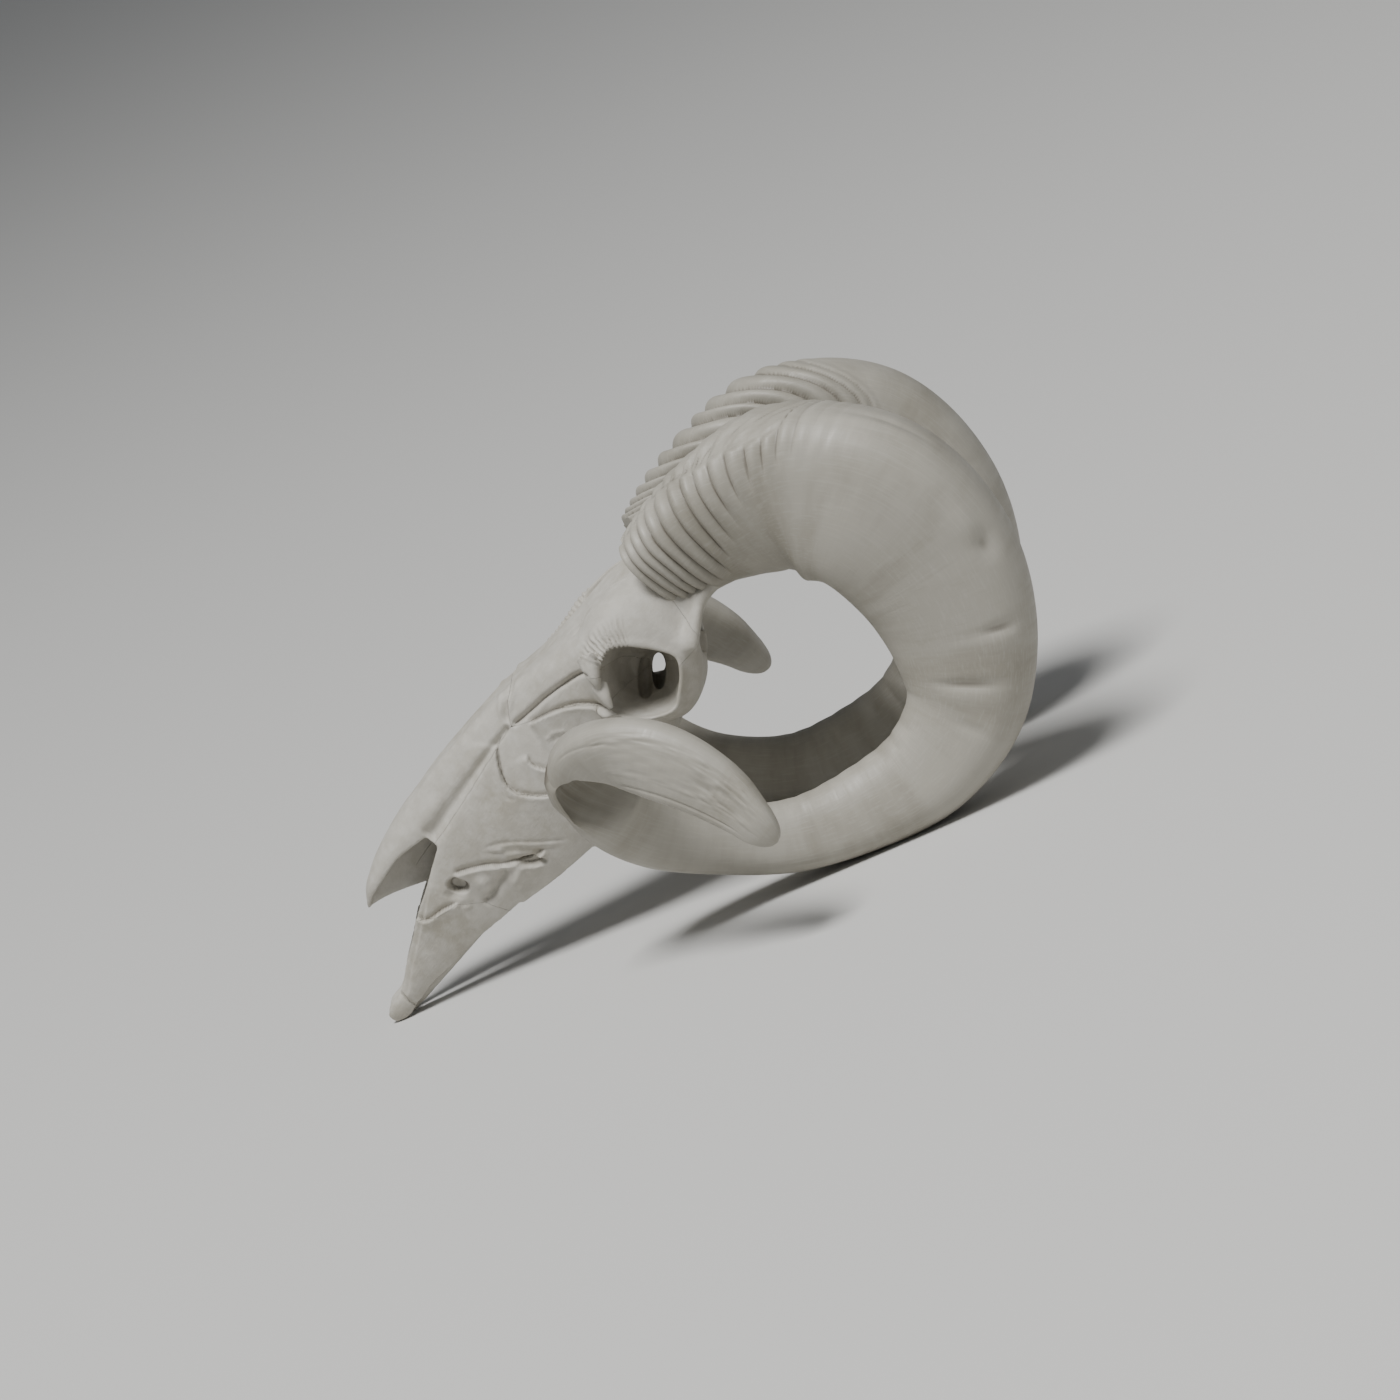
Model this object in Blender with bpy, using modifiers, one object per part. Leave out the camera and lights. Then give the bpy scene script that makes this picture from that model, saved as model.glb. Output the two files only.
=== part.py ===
"""A ram's skull with both horns, life size, lying as it comes to rest.

While a piece is shaped its lengths are millimetres in the skull's own frame.
X runs back from the tips of the premaxillae to the occiput. Y runs across,
with the left side at -Y. Z runs up from the line of the palate. The last step
turns the skull nose down onto the three places it rests on, in metres.
"""

import math

import bpy
import bmesh
import numpy as np
from mathutils import Matrix, Vector
from mathutils.bvhtree import BVHTree

MM = 0.001

# How the skull lies: nose down by REST_PITCH, with the premaxilla tips and
# the undersides of both horns on the floor.
REST_PITCH = math.radians(30.84)
REST_X = -192.29
REST_Z = 4.35

# Gap that touching pieces keep, in millimetres.
GAP = 0.3

# Direction that the rings of a bar are turned by.
TUBE_HELPER = (0.31, 0.17, 0.93)

# Body of the skull, one row for each section from the nasal opening to the
# occiput: place, height of the roof, half width of the roof and its drop,
# half width of the side and its height, half width of the floor, height of
# the floor and rise of the palate over it.
SKULL_SECTIONS = (
    (88, 57, 12, 4.5, 20, 24, 16, -17, 4),
    (112, 57, 14, 4.5, 25, 15, 20, -24, 6),
    (135, 55.5, 16, 4.5, 30, 8, 24, -29, 8),
    (158, 53, 19, 4.5, 35, 4, 27, -31, 10),
    (180, 49.5, 24, 4.5, 39, 3, 28, -31, 11),
    (200, 45.5, 32, 5.5, 41, 6, 26, -30, 10),
    (214, 45, 38, 8, 39, 8, 20, -27, 6),
    (230, 43.5, 41, 10, 35, 10, 13, -21, 2),
    (246, 42, 40, 11, 33, 10, 12, -13, 0),
    (258, 40, 36, 10, 33, 10, 13, -3, 0),
    (270, 38.5, 30, 9, 33, 8, 15, -3, 0),
    (282, 36, 28, 9, 34, 4, 17, -8, 0),
    (294, 31, 26, 9, 34, 0, 17, -18, 0),
    (305, 24, 23, 8, 30, -5, 16, -28, 0),
    (314, 12, 16, 7, 20, -10, 12, -29, 0),
)
SECTION_STEPS = 3
SKULL_RINGS = 25

# Nasal bones, which overhang the nasal opening: place, height of the ridge,
# half width, height of the lower edge and thickness.
NASAL_SECTIONS = (
    (37.5, 41.5, 1.2, 40.2, 1.0),
    (44, 47.5, 6.5, 43, 2.4),
    (56, 52.5, 11, 44.5, 3.2),
    (70, 55.5, 14, 45, 4),
    (84, 57.2, 16, 41.5, 5),
    (98, 57.6, 18.5, 37, 6),
    (112, 57.3, 18.5, 36, 6),
)
NASAL_RINGS = 9
NASAL_STEPS = 8

# Premaxilla and the front plate of the maxilla, one side: place, height of
# the lower and upper edge, middle of the plate from the midline, thickness.
PLATE_SECTIONS = (
    (-2, -4, 1.6, 6, 4),
    (2, -6.4, 3.8, 6.2, 7),
    (13, -6.5, 4.2, 7, 7),
    (26, -6.5, 10, 8.6, 6.2),
    (40, -9, 15.5, 10.5, 5.8),
    (54, -10.5, 21.5, 12.5, 6),
    (68, -13.5, 26, 14.5, 7),
    (82, -16.5, 31, 16, 8),
    (97, -18.5, 36, 17, 8.5),
    (114, -17, 37, 16, 7),
)
PLATE_RINGS = 12
PLATE_SIDES = 10

# Bar of the palate between the two slits behind the incisive tips.
PALATE_BAR = ((6, -5.5), (100, -14))
PALATE_BAR_HALF = (3.2, 2.6)

# Orbit of one side: its middle and the outline of its mouth in the side view.
ORBIT_MIDDLE = (221, 2)
ORBIT_MOUTH = (
    (224, 25), (231, 20), (236, 11.5), (240.5, 1), (241, -4.5), (237, -9.5), (228, -15),
    (220, -18), (211, -12.5), (203.5, -3), (202, 6), (205.5, 13.5), (213, 21.5),
)
MOUTH_STEPS = 2

# Wall around the orbit: how wide it is at each turn around the mouth, and the
# part of that width that it has at each distance from the midline.
WALL_WIDTH = (
    (-180, 5), (-135, 6), (-90, 10), (-65, 12), (-50, 13), (-25, 12), (-10, 15), (5, 21), (25, 27),
    (45, 27), (65, 20), (90, 13), (120, 9), (150, 6), (180, 5),
)
WALL_PROFILE = ((51, 0.08), (50, 0.25), (47, 0.56), (42, 0.86), (34, 1.04), (23, 1.15))

# Hollow of the orbit: its size against the mouth at each distance from the
# midline, from outside the wall in to its floor.
SOCKET_PROFILE = ((62, 1.15), (50, 1.0), (41, 1.02), (32, 0.93), (22, 0.72), (15, 0.58), (9, 0.3))

# Bar behind the orbit of one side, from under the horn down to the cheek, and
# the brow over it.
BAR_ROUTE = (
    (273, 31, 7), (262, 34, 2), (255, 36, -1.5), (248, 37.5, -7.5), (240, 38.5, -15), (231, 38.5, -19.5),
)
BAR_RADII = (9, 8, 7, 6.5, 7, 6)
BROW_ROUTE = ((266, 24, 22), (258, 29, 14), (250, 33, 6), (243, 35, -3))
BROW_RADII = (14, 12, 10, 8)

# Cheek arch of one side, from the rim back to the braincase.
ARCH_ROUTE = ((248, 49, -9), (260, 47, -3), (272, 43, 2), (286, 37, 0), (296, 29, -6))
ARCH_RADII = (5, 4.5, 4.5, 6, 4)

# Back of the braincase: its crest, and on one side the condyle that carried
# the neck, the ear capsule and the process beside the condyle.
CREST = (305, 0, 2)
CREST_RADII = (4, 35, 31)
CONDYLE = (315, 11, -22)
CONDYLE_RADII = (7.5, 7, 10)
BULLA = (296, 16, -10)
BULLA_RADII = (8, 7, 5.5)
PROCESS_ROUTE = ((303, 21, -8), (306, 21, -15), (308, 20, -20))
PROCESS_RADII = (6.5, 4.5, 2.5)

# Hollows, each as its middle and radii: nasal cavity, the hole between the
# two orbits, the recess beside it in each orbit, the hole for the spinal cord,
# and the fossa behind the orbit. The hole and the recess lean by ORBIT_LEAN.
NASAL_CAVITY = ((92, 0, 20), (52, 13, 26))
ORBIT_HOLE = ((224.5, 0, -6.8), (3.8, 24, 8.5))
ORBIT_RECESS = ((218.9, 17, -1.6), (4.4, 14, 11.3))
ORBIT_LEAN = math.radians(54.7)
NECK_HOLE = ((322, 0, -13), (13, 8, 9))
TEMPLE_FOSSA = ((264, 25, -10), (18, 10.5, 16))

# Thin wall of bone that hangs from the nasal bones between the two halves of
# the nose: its outline in the side view and its half thickness.
SEPTUM = (
    (38, 42.3), (46, 38), (57, 31.5), (68, 24.2), (76, 20.5), (90, 19), (98, 24), (98, 52),
    (84, 54), (70, 52.5), (56, 49.5), (46, 45.5),
)
SEPTUM_HALF = 1.2

# Cheek teeth of one side: first and last place on the row, how many, height
# of their necks and crowns, and the row's distance from the midline.
TOOTH_ROW = (134, 199)
TOOTH_COUNT = 6
TOOTH_NECK = -26
TOOTH_CROWN = (-36, -42)
TOOTH_LINE = (20.5, 24)
TOOTH_WIDTH = (7.5, 11)

# Horn of one side, one row for each station along its middle line: place,
# distance from the midline, height, depth across the curl and width.
HORN_STATIONS = (
    (268, 25, 25, 47, 38),
    (283, 30, 23, 53, 43),
    (312.8, 40, 15.6, 65, 50),
    (345.8, 55, -1.4, 80, 58),
    (361, 67, -30, 88, 62),
    (356, 67, -75, 86, 60),
    (332, 65, -113, 72, 53),
    (308, 64, -131, 60, 47),
    (272, 64, -135, 50, 41),
    (237, 65, -122, 42, 37),
    (207, 68, -102, 36, 33),
    (185, 75, -72, 34, 31),
    (173, 88, -40, 38, 30),
    (173, 105, -13, 38, 29),
    (186, 125, 9, 37, 25),
    (202.5, 145, 5.4, 35, 20),
    (216.2, 163, -12.6, 37, 17),
    (223, 175, -45.2, 29.5, 15),
    (222.2, 184, -68.5, 19.5, 12),
    (221.5, 186, -77.8, 18, 9),
)
HORN_SIDES = 18

# How much wider the horn is along its outer edge than in its middle, near the
# base and on the flat last turn, and the length of its rounded tip.
HORN_TAPER = 0.26
BLADE_TAPER = 0.5
BLADE_TURNS = (470, 540)
TIP_LENGTH = 15.0

# Ribs across the horn: places of the valleys between them, height from valley
# to crest, how that fades along the horn, and how far each rib runs on along
# the side by the midline at each turn around the horn.
RIB_VALLEYS = (3.5, 13, 20, 30, 40, 54, 62.5, 73, 84, 92, 99)
RIB_HEIGHT = 3.5
RIB_FADE = ((0, 0.5), (20, 1), (74, 1), (84, 0.65), (92, 0.35), (99, 0))
RIB_SLANT = ((-180, 0), (-120, 20), (-90, 26), (-58, 18), (-30, 7.5), (-10, 1.5), (0, 0))
SLANT_START = 26.0
SLANT_END = (125.0, 50.0)

# Bay under the last turn: where it begins along the horn, where its upper edge
# lies at each turn around the horn, how long its end wall is, and how far it
# moves the outline, as turn around the horn and parts of the half depth outward
# and of the half width sideways.
BAY_START = (455, 482)
BAY_EDGE = ((38, 489), (52, 491.5), (72, 494.5), (88, 499), (103, 503.5), (124, 510.5), (150, 517))
BAY_END_WALL = 8.0
BAY_MOVES = (
    (30, 0, 0), (42, 0.03, -0.02), (52, 0.2, -0.08), (62, 0.42, -0.2), (75, 0.72, -0.45),
    (90, 0.95, -0.85), (105, 1.1, -1.15), (120, 1.05, -1.3), (135, 0.88, -1.35),
    (150, 0.65, -1.22), (165, 0.36, -1.05), (180, 0.1, -0.72), (195, -0.02, -0.37),
    (210, -0.08, -0.22), (225, -0.03, -0.1), (240, 0, 0),
)

# Stretches of the horn past its ribs, each with its end and the step between
# its rings, and the rings of the tip as distances from the horn's end.
PLAIN_STRETCHES = ((445, 15.0), (517, 6.0), (600, 12.0))
TIP_RINGS = (10.0, 5.0, 2.0, 0.0)

# Cuts between the bones, as lines in the side view.
NASAL_TOP_SUTURE = ((183, 70), (181, 52), (169, 47), (161.5, 40), (161.5, 38))
NASAL_LOW_SUTURE = ((162.5, 39.2), (150, 38.5), (122, 36.5), (94, 35), (70, 34.5))
FRONTAL_LOW_SUTURE = ((160.8, 38.4), (176, 35), (192, 32), (207, 27), (220, 13), (227, -3))
LACRIMAL_LOW_SUTURE = ((160.6, 38.8), (170, 33), (182, 28), (192, 20), (200, 9), (213, 2), (227, -4))
CHEEK_SUTURE = (
    (153, 39.8), (151, 39), (146, 37), (141, 32), (135.5, 23), (135.5, 17),
    (140, 10), (145, 3), (158, -8), (180, -17), (212, -21), (232, -40),
)
SOCKET_SUTURE = ((226.5, -3), (238, -8), (252, -10), (275, -6))
PREMAXILLA_SUTURE = ((40, 27), (51.5, 17), (58, 12), (69, 8), (78, -3), (84, -30))
TIP_SUTURE = ((14, 20), (13.5, 3), (11, -3), (11, -20))
CORONAL_SUTURE = ((268, 70), (263, 40), (263, 14), (258, -2), (254, -20))
PALATE_SUTURE = ((213, -17), (216, -26), (216, -60))
MIDLINE_END = 266.0

# A point inside each bone, in the side view and off the midline.
BONES = {
    "nasal": (120, 8, 48),
    "frontal": (215, 10, 38),
    "lacrimal": (187, 12, 28),
    "zygomatic": (165, 12, 12),
    "maxilla": (120, 14, 0),
    "premaxilla": (40, 10.5, 0),
    "incisive_tip": (6, 6.3, -1),
}
BRAINCASE = (290, 0, 5)

BONE_COLOUR = (0.46, 0.44, 0.40, 1.0)
HORN_COLOUR = (0.30, 0.29, 0.27, 1.0)


def clear_scene():
    """Takes away whatever the file holds."""
    for old in list(bpy.data.objects):
        bpy.data.objects.remove(old, do_unlink=True)


def new_collection(name):
    made = bpy.data.collections.new(name)
    bpy.context.scene.collection.children.link(made)
    return made


def new_material(name, colour, roughness):
    made = bpy.data.materials.new(name)
    made.use_nodes = True
    shader = made.node_tree.nodes["Principled BSDF"]
    shader.inputs["Base Color"].default_value = colour
    shader.inputs["Roughness"].default_value = roughness
    shader.inputs["Metallic"].default_value = 0.0
    return made


def spline(rows, places):
    """Smooth curve through rows, read at places along their chord length."""
    rows = np.asarray(rows, float)
    chord = np.linalg.norm(np.diff(rows[:, :3], axis=0), axis=1)
    knots = np.concatenate(([0.0], np.cumsum(chord)))
    slopes = np.gradient(rows, knots, axis=0)
    places = np.asarray(places, float)
    index = np.clip(np.searchsorted(knots, places) - 1, 0, len(knots) - 2)
    span = knots[index + 1] - knots[index]
    inside = np.clip((places - knots[index]) / span, 0.0, 1.0)[..., None]
    beyond = np.minimum(places, 0.0) + np.maximum(places - knots[-1], 0.0)
    start, end = rows[index], rows[index + 1]
    rise, fall = slopes[index] * span[..., None], slopes[index + 1] * span[..., None]
    curve = (
        (2 * inside**3 - 3 * inside**2 + 1) * start
        + (inside**3 - 2 * inside**2 + inside) * rise
        + (3 * inside**2 - 2 * inside**3) * end
        + (inside**3 - inside**2) * fall
    )
    ends = np.where((places < 0)[..., None], slopes[0], slopes[-1])
    return curve + beyond[..., None] * ends


def smooth_step(values, low, high):
    """Eases from 0 at low to 1 at high, which may be the smaller of the two."""
    t = np.clip((np.asarray(values, float) - low) / (high - low), 0.0, 1.0)
    return t * t * (3 - 2 * t)


def spline_length(rows):
    return float(np.linalg.norm(np.diff(np.asarray(rows, float)[:, :3], axis=0), axis=1).sum())


def even_rows(rows, count):
    """Rows of a table at even steps of its first column, smoothly between."""
    rows = np.asarray(rows, float)
    places = np.linspace(rows[0, 0], rows[-1, 0], count)
    slopes = np.gradient(rows, rows[:, 0], axis=0)
    made = []
    for place in places:
        index = min(max(int(np.searchsorted(rows[:, 0], place)) - 1, 0), len(rows) - 2)
        span = rows[index + 1, 0] - rows[index, 0]
        t = (place - rows[index, 0]) / span
        made.append(
            (2 * t**3 - 3 * t**2 + 1) * rows[index]
            + (t**3 - 2 * t**2 + t) * slopes[index] * span
            + (3 * t**2 - 2 * t**3) * rows[index + 1]
            + (t**3 - t**2) * slopes[index + 1] * span
        )
    return made


def smooth_outline(corners, steps, closed=False):
    """Outline through corners, rounded, with some steps a stretch."""
    corners = np.asarray(corners, float)
    if closed:
        corners = np.vstack((corners, corners[0]))
        padded = np.vstack((corners[-2], corners, corners[1]))
    else:
        padded = np.vstack((2 * corners[0] - corners[1], corners, 2 * corners[-1] - corners[-2]))
    made = []
    for k in range(len(corners) - 1):
        before, start, end, after = padded[k : k + 4]
        for step in range(steps):
            t = step / steps
            made.append(
                0.5
                * (
                    2 * start
                    + (end - before) * t
                    + (2 * before - 5 * start + 4 * end - after) * t**2
                    + (3 * start - before - 3 * end + after) * t**3
                )
            )
    if not closed:
        made.append(corners[-1])
    return np.array(made)


def mesh_object(name, verts, faces):
    """New object from points in millimetres, with its faces pointing out."""
    mesh = bpy.data.meshes.new(name)
    mesh.from_pydata([tuple(float(c) for c in v) for v in verts], [], faces)
    shape = bmesh.new()
    shape.from_mesh(mesh)
    bmesh.ops.recalc_face_normals(shape, faces=shape.faces)
    shape.to_mesh(mesh)
    shape.free()
    made = bpy.data.objects.new(name, mesh)
    bpy.context.scene.collection.objects.link(made)
    return made


def loft(name, rings):
    """Closed body through rings of equal count, fanned shut at both ends."""
    rings = [np.asarray(ring, float) for ring in rings]
    sides = len(rings[0])
    verts = [point for ring in rings for point in ring]
    faces = []
    for k in range(len(rings) - 1):
        low, high = k * sides, (k + 1) * sides
        for i in range(sides):
            j = (i + 1) % sides
            faces.append((low + i, low + j, high + j))
            faces.append((low + i, high + j, high + i))
    for first, ring in ((0, rings[0]), ((len(rings) - 1) * sides, rings[-1])):
        verts.append(ring.mean(axis=0))
        middle = len(verts) - 1
        for i in range(sides):
            faces.append((first + i, first + (i + 1) % sides, middle))
    return mesh_object(name, verts, faces)


def ellipsoid(name, middle, radii, segments=14, rings=9, lean=0.0):
    """Closed ball stretched to three radii and then leant back in the side view."""
    turn = Matrix.Rotation(lean, 3, "Y")
    shape = bmesh.new()
    bmesh.ops.create_uvsphere(shape, u_segments=segments, v_segments=rings, radius=1.0)
    for vert in shape.verts:
        vert.co = Vector(middle) + turn @ Vector([radii[k] * vert.co[k] for k in range(3)])
    mesh = bpy.data.meshes.new(name)
    shape.to_mesh(mesh)
    shape.free()
    made = bpy.data.objects.new(name, mesh)
    bpy.context.scene.collection.objects.link(made)
    return made


def tube(name, route, radii, sides=8):
    """Round bar along a route, with a radius for each of its points.

    The rings turn with TUBE_HELPER, a direction that no bar here follows.
    """
    route = np.asarray(route, float)
    tangents = np.gradient(route, axis=0)
    rings = []
    for point, tangent, radius in zip(route, tangents, radii):
        tangent = tangent / np.linalg.norm(tangent)
        side = np.cross(tangent, TUBE_HELPER)
        side /= np.linalg.norm(side)
        over = np.cross(tangent, side)
        turns = [2 * math.pi * k / sides for k in range(sides)]
        rings.append([point + radius * (math.cos(a) * side + math.sin(a) * over) for a in turns])
    return loft(name, rings)


def mirrored(source):
    """Copy of an object on the other side of the midline."""
    mesh = source.data.copy()
    for vert in mesh.vertices:
        vert.co.y = -vert.co.y
    mesh.flip_normals()
    made = bpy.data.objects.new(source.name + "_mirror", mesh)
    bpy.context.scene.collection.objects.link(made)
    return made


def apply_boolean(target, operation, operand):
    """Joins or cuts target with one object or one collection.

    The solver is MANIFOLD, because EXACT leaves open edges where the thin
    cuts of the sutures cross.
    """
    change = target.modifiers.new("join", "BOOLEAN")
    change.operation = operation
    change.solver = "MANIFOLD"
    if isinstance(operand, bpy.types.Collection):
        change.operand_type = "COLLECTION"
        change.collection = operand
    else:
        change.object = operand
    graph = bpy.context.evaluated_depsgraph_get()
    mesh = bpy.data.meshes.new_from_object(target.evaluated_get(graph))
    target.modifiers.clear()
    target.data = mesh


def fuse(target, pieces):
    """Joins closed pieces to target in one union and removes them."""
    holder = new_collection("pieces")
    for piece in pieces:
        holder.objects.link(piece)
    apply_boolean(target, "UNION", holder)
    for piece in pieces:
        bpy.data.objects.remove(piece, do_unlink=True)
    bpy.data.collections.remove(holder)
    return target


def carve(target, cutters):
    """Cuts each closed cutter out of target in turn and removes it."""
    for cutter in cutters:
        apply_boolean(target, "DIFFERENCE", cutter)
        bpy.data.objects.remove(cutter, do_unlink=True)
    return target


def loose_bodies(source):
    """Closed surfaces of an object, each a list of its faces, largest first."""
    shape = bmesh.new()
    shape.from_mesh(source.data)
    bmesh.ops.remove_doubles(shape, verts=shape.verts, dist=0.002)
    bmesh.ops.dissolve_degenerate(shape, edges=shape.edges, dist=0.002)
    bmesh.ops.triangulate(shape, faces=shape.faces)
    seen = set()
    bodies = []
    for start in shape.faces:
        if start in seen:
            continue
        stack, found = [start], []
        seen.add(start)
        while stack:
            face = stack.pop()
            found.append(face)
            for edge in face.edges:
                for other in edge.link_faces:
                    if other not in seen:
                        seen.add(other)
                        stack.append(other)
        verts = {v: k for k, v in enumerate({v for f in found for v in f.verts})}
        points = [v.co.copy() for v in verts]
        faces = [tuple(verts[v] for v in f.verts) for f in found]
        bodies.append((points, faces))
    shape.free()
    return sorted(bodies, key=lambda body: -len(body[1]))


def inside(body, point):
    """Whether a point is inside a closed surface."""
    tree = BVHTree.FromPolygons(body[0], body[1])
    direction = Vector((0.013, 0.021, 1.0)).normalized()
    start, crossings = Vector(point), 0
    while True:
        hit = tree.ray_cast(start, direction)
        if hit[0] is None:
            return crossings % 2 == 1
        crossings += 1
        start = hit[0] + direction * 0.001


def section_ring(row, grow=0.0):
    """Outline of the skull's body across one place."""
    place, roof, roof_half, drop, side_half, side, floor_half, floor, rise = row
    half = smooth_outline(
        (
            (0, roof + grow),
            (roof_half + grow, roof - drop + grow),
            (side_half + grow, side),
            (floor_half + grow, floor - grow),
            (0, floor + rise - grow),
        ),
        SECTION_STEPS,
    )
    ring = [(place, y, z) for y, z in half]
    ring += [(place, -y, z) for y, z in half[-2:0:-1]]
    return ring


def skull_body(grow=0.0):
    rings = [section_ring(row, grow) for row in even_rows(SKULL_SECTIONS, SKULL_RINGS)]
    return loft("skull_body", rings)


def nasal_roof():
    """Both nasal bones as one arched plate with two edges hanging down."""
    rings = []
    for place, ridge, half, edge, thick in even_rows(NASAL_SECTIONS, NASAL_RINGS):
        turns = [math.pi * k / NASAL_STEPS for k in range(NASAL_STEPS + 1)]
        outer = [(half * math.cos(a), edge + (ridge - edge) * math.sin(a) ** 0.8) for a in turns]
        inner_half = max(half - thick * 0.7, half * 0.3)
        inner_ridge = ridge - thick
        inner = [
            (inner_half * math.cos(a), edge + (inner_ridge - edge) * math.sin(a) ** 0.8)
            for a in turns
        ]
        rings.append([(place, y, z) for y, z in outer + inner[::-1]])
    return loft("nasal_roof", rings)


def side_plate():
    """Premaxilla with the front of the maxilla, on the right side."""
    rings = []
    for place, low, high, middle, thick in even_rows(PLATE_SECTIONS, PLATE_RINGS):
        ring = []
        for k in range(PLATE_SIDES):
            a = 2 * math.pi * k / PLATE_SIDES
            up = 0.5 * (low + high) + 0.5 * (high - low) * math.sin(a)
            lean = (up - 0.5 * (low + high)) * 0.06
            ring.append((place, middle + lean + 0.5 * thick * math.cos(a), up))
        rings.append(ring)
    return loft("side_plate", rings)


def palate_bar():
    (start, start_z), (end, end_z) = PALATE_BAR
    half_y, half_z = PALATE_BAR_HALF
    rings = []
    for place, height in ((start, start_z), (end, end_z)):
        rings.append(
            [
                (place, half_y * math.cos(a), height + half_z * math.sin(a))
                for a in [math.pi * k / 4 for k in range(8)]
            ]
        )
    return loft("palate_bar", rings)


def mouth_outline(at, outward=0.0, size=1.0):
    """Outline of the orbit's mouth, scaled and moved outward, at a distance from the midline."""
    flat = smooth_outline(ORBIT_MOUTH, MOUTH_STEPS, closed=True)
    away = flat - ORBIT_MIDDLE
    away /= np.linalg.norm(away, axis=1)[:, None]
    flat = ORBIT_MIDDLE + size * (flat - ORBIT_MIDDLE) + np.reshape(outward, (-1, 1)) * away
    return np.column_stack((flat[:, 0], np.full(len(flat), at), flat[:, 1]))


def orbit_wall(grow=0.0):
    """Flared wall around the orbit, widest towards the horn."""
    mouth = mouth_outline(0.0)
    turns = np.degrees(np.arctan2(mouth[:, 2] - ORBIT_MIDDLE[1], mouth[:, 0] - ORBIT_MIDDLE[0]))
    width = np.interp(turns, *np.transpose(WALL_WIDTH))
    rings = [mouth_outline(at, width * part + grow) for at, part in WALL_PROFILE]
    rings[0][:, 1] += grow
    return loft("orbit_wall", rings)


def nuchal_crest(grow=0.0):
    """Ridge that runs over the back of the braincase from side to side."""
    return ellipsoid("crest", CREST, [radius + grow for radius in CREST_RADII], 18, 8)


def bone_by_the_horn(grow=0.0):
    """Pieces of the right side that lie near or under the horn."""
    arch_radii = [radius + grow for radius in ARCH_RADII]
    process_radii = [radius + grow for radius in PROCESS_RADII]
    return [
        orbit_wall(grow),
        tube("bar", BAR_ROUTE, [radius + grow for radius in BAR_RADII]),
        tube("brow", BROW_ROUTE, [radius + grow for radius in BROW_RADII]),
        tube("arch", ARCH_ROUTE, arch_radii),
        ellipsoid("condyle", CONDYLE, [radius + grow for radius in CONDYLE_RADII], 10, 7),
        ellipsoid("bulla", BULLA, [radius + grow for radius in BULLA_RADII], 10, 7),
        tube("process", PROCESS_ROUTE, process_radii, 7),
    ]


def orbit_socket():
    """Hollow of the orbit, from its mouth in to the wall by the midline."""
    return loft("orbit_socket", [mouth_outline(at, size=size) for at, size in SOCKET_PROFILE])


def nose_septum(side):
    """Half of the thin wall in the nose, on one side of the midline."""
    rings = [[(x, side * y, z) for x, z in SEPTUM] for y in (0.5 * GAP, SEPTUM_HALF)]
    return loft("septum", rings)


def cheek_teeth():
    """Six cheek teeth in a row, each with two ridged cusps."""
    made = []
    first, last = TOOTH_ROW
    length = (last - first) / TOOTH_COUNT
    for k in range(TOOTH_COUNT):
        part = (k + 0.5) / TOOTH_COUNT
        place = first + length * (k + 0.5)
        line = TOOTH_LINE[0] + (TOOTH_LINE[1] - TOOTH_LINE[0]) * part
        half = 0.5 * (TOOTH_WIDTH[0] + (TOOTH_WIDTH[1] - TOOTH_WIDTH[0]) * part)
        crown = TOOTH_CROWN[0] + (TOOTH_CROWN[1] - TOOTH_CROWN[0]) * math.sin(part * math.pi * 0.6)
        rings = []
        for height, size in ((TOOTH_NECK, 0.8), (TOOTH_NECK - 7, 0.98), (crown, 0.86)):
            ring = []
            for i in range(8):
                a = 2 * math.pi * (i + 0.5) / 8
                x = place + 0.53 * length * size * math.copysign(abs(math.cos(a)) ** 0.5, math.cos(a))
                y = line + half * size * math.copysign(abs(math.sin(a)) ** 0.5, math.sin(a))
                cusp = 1.2 * math.cos(4 * math.pi * (x - place) / length) if height == crown else 0
                ring.append((x, y, height - cusp))
            rings.append(ring)
        made.append(loft("tooth", rings))
    return made


def horn_places(total):
    """Places of the horn's rings, with their height between valley and crest."""
    places = [(0.0, 0.0)]
    for valley, following in zip(RIB_VALLEYS, RIB_VALLEYS[1:]):
        for part, height in ((0.0, -0.62), (0.3, 0.3), (0.65, 0.3)):
            places.append((valley + part * (following - valley), height))
    start = RIB_VALLEYS[-1]
    for end, step in PLAIN_STRETCHES:
        count = round((end - start) / step)
        places += [(start + (end - start) * k / count, 0.0) for k in range(count)]
        start = end
    return places + [(total - rest, 0.0) for rest in TIP_RINGS]


def bay_moves(place, turns):
    """Parts by which the bay moves the horn's outline outward and sideways."""
    turns = np.degrees(turns) % 360
    edge = np.interp(turns, *np.transpose(BAY_EDGE))
    bend = smooth_step(place, *BAY_START) * smooth_step((edge - place) / BAY_END_WALL, 0, 1)
    around, out, side = np.transpose(BAY_MOVES)
    return bend * np.interp(turns, around, out), bend * np.interp(turns, around, side)


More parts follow.
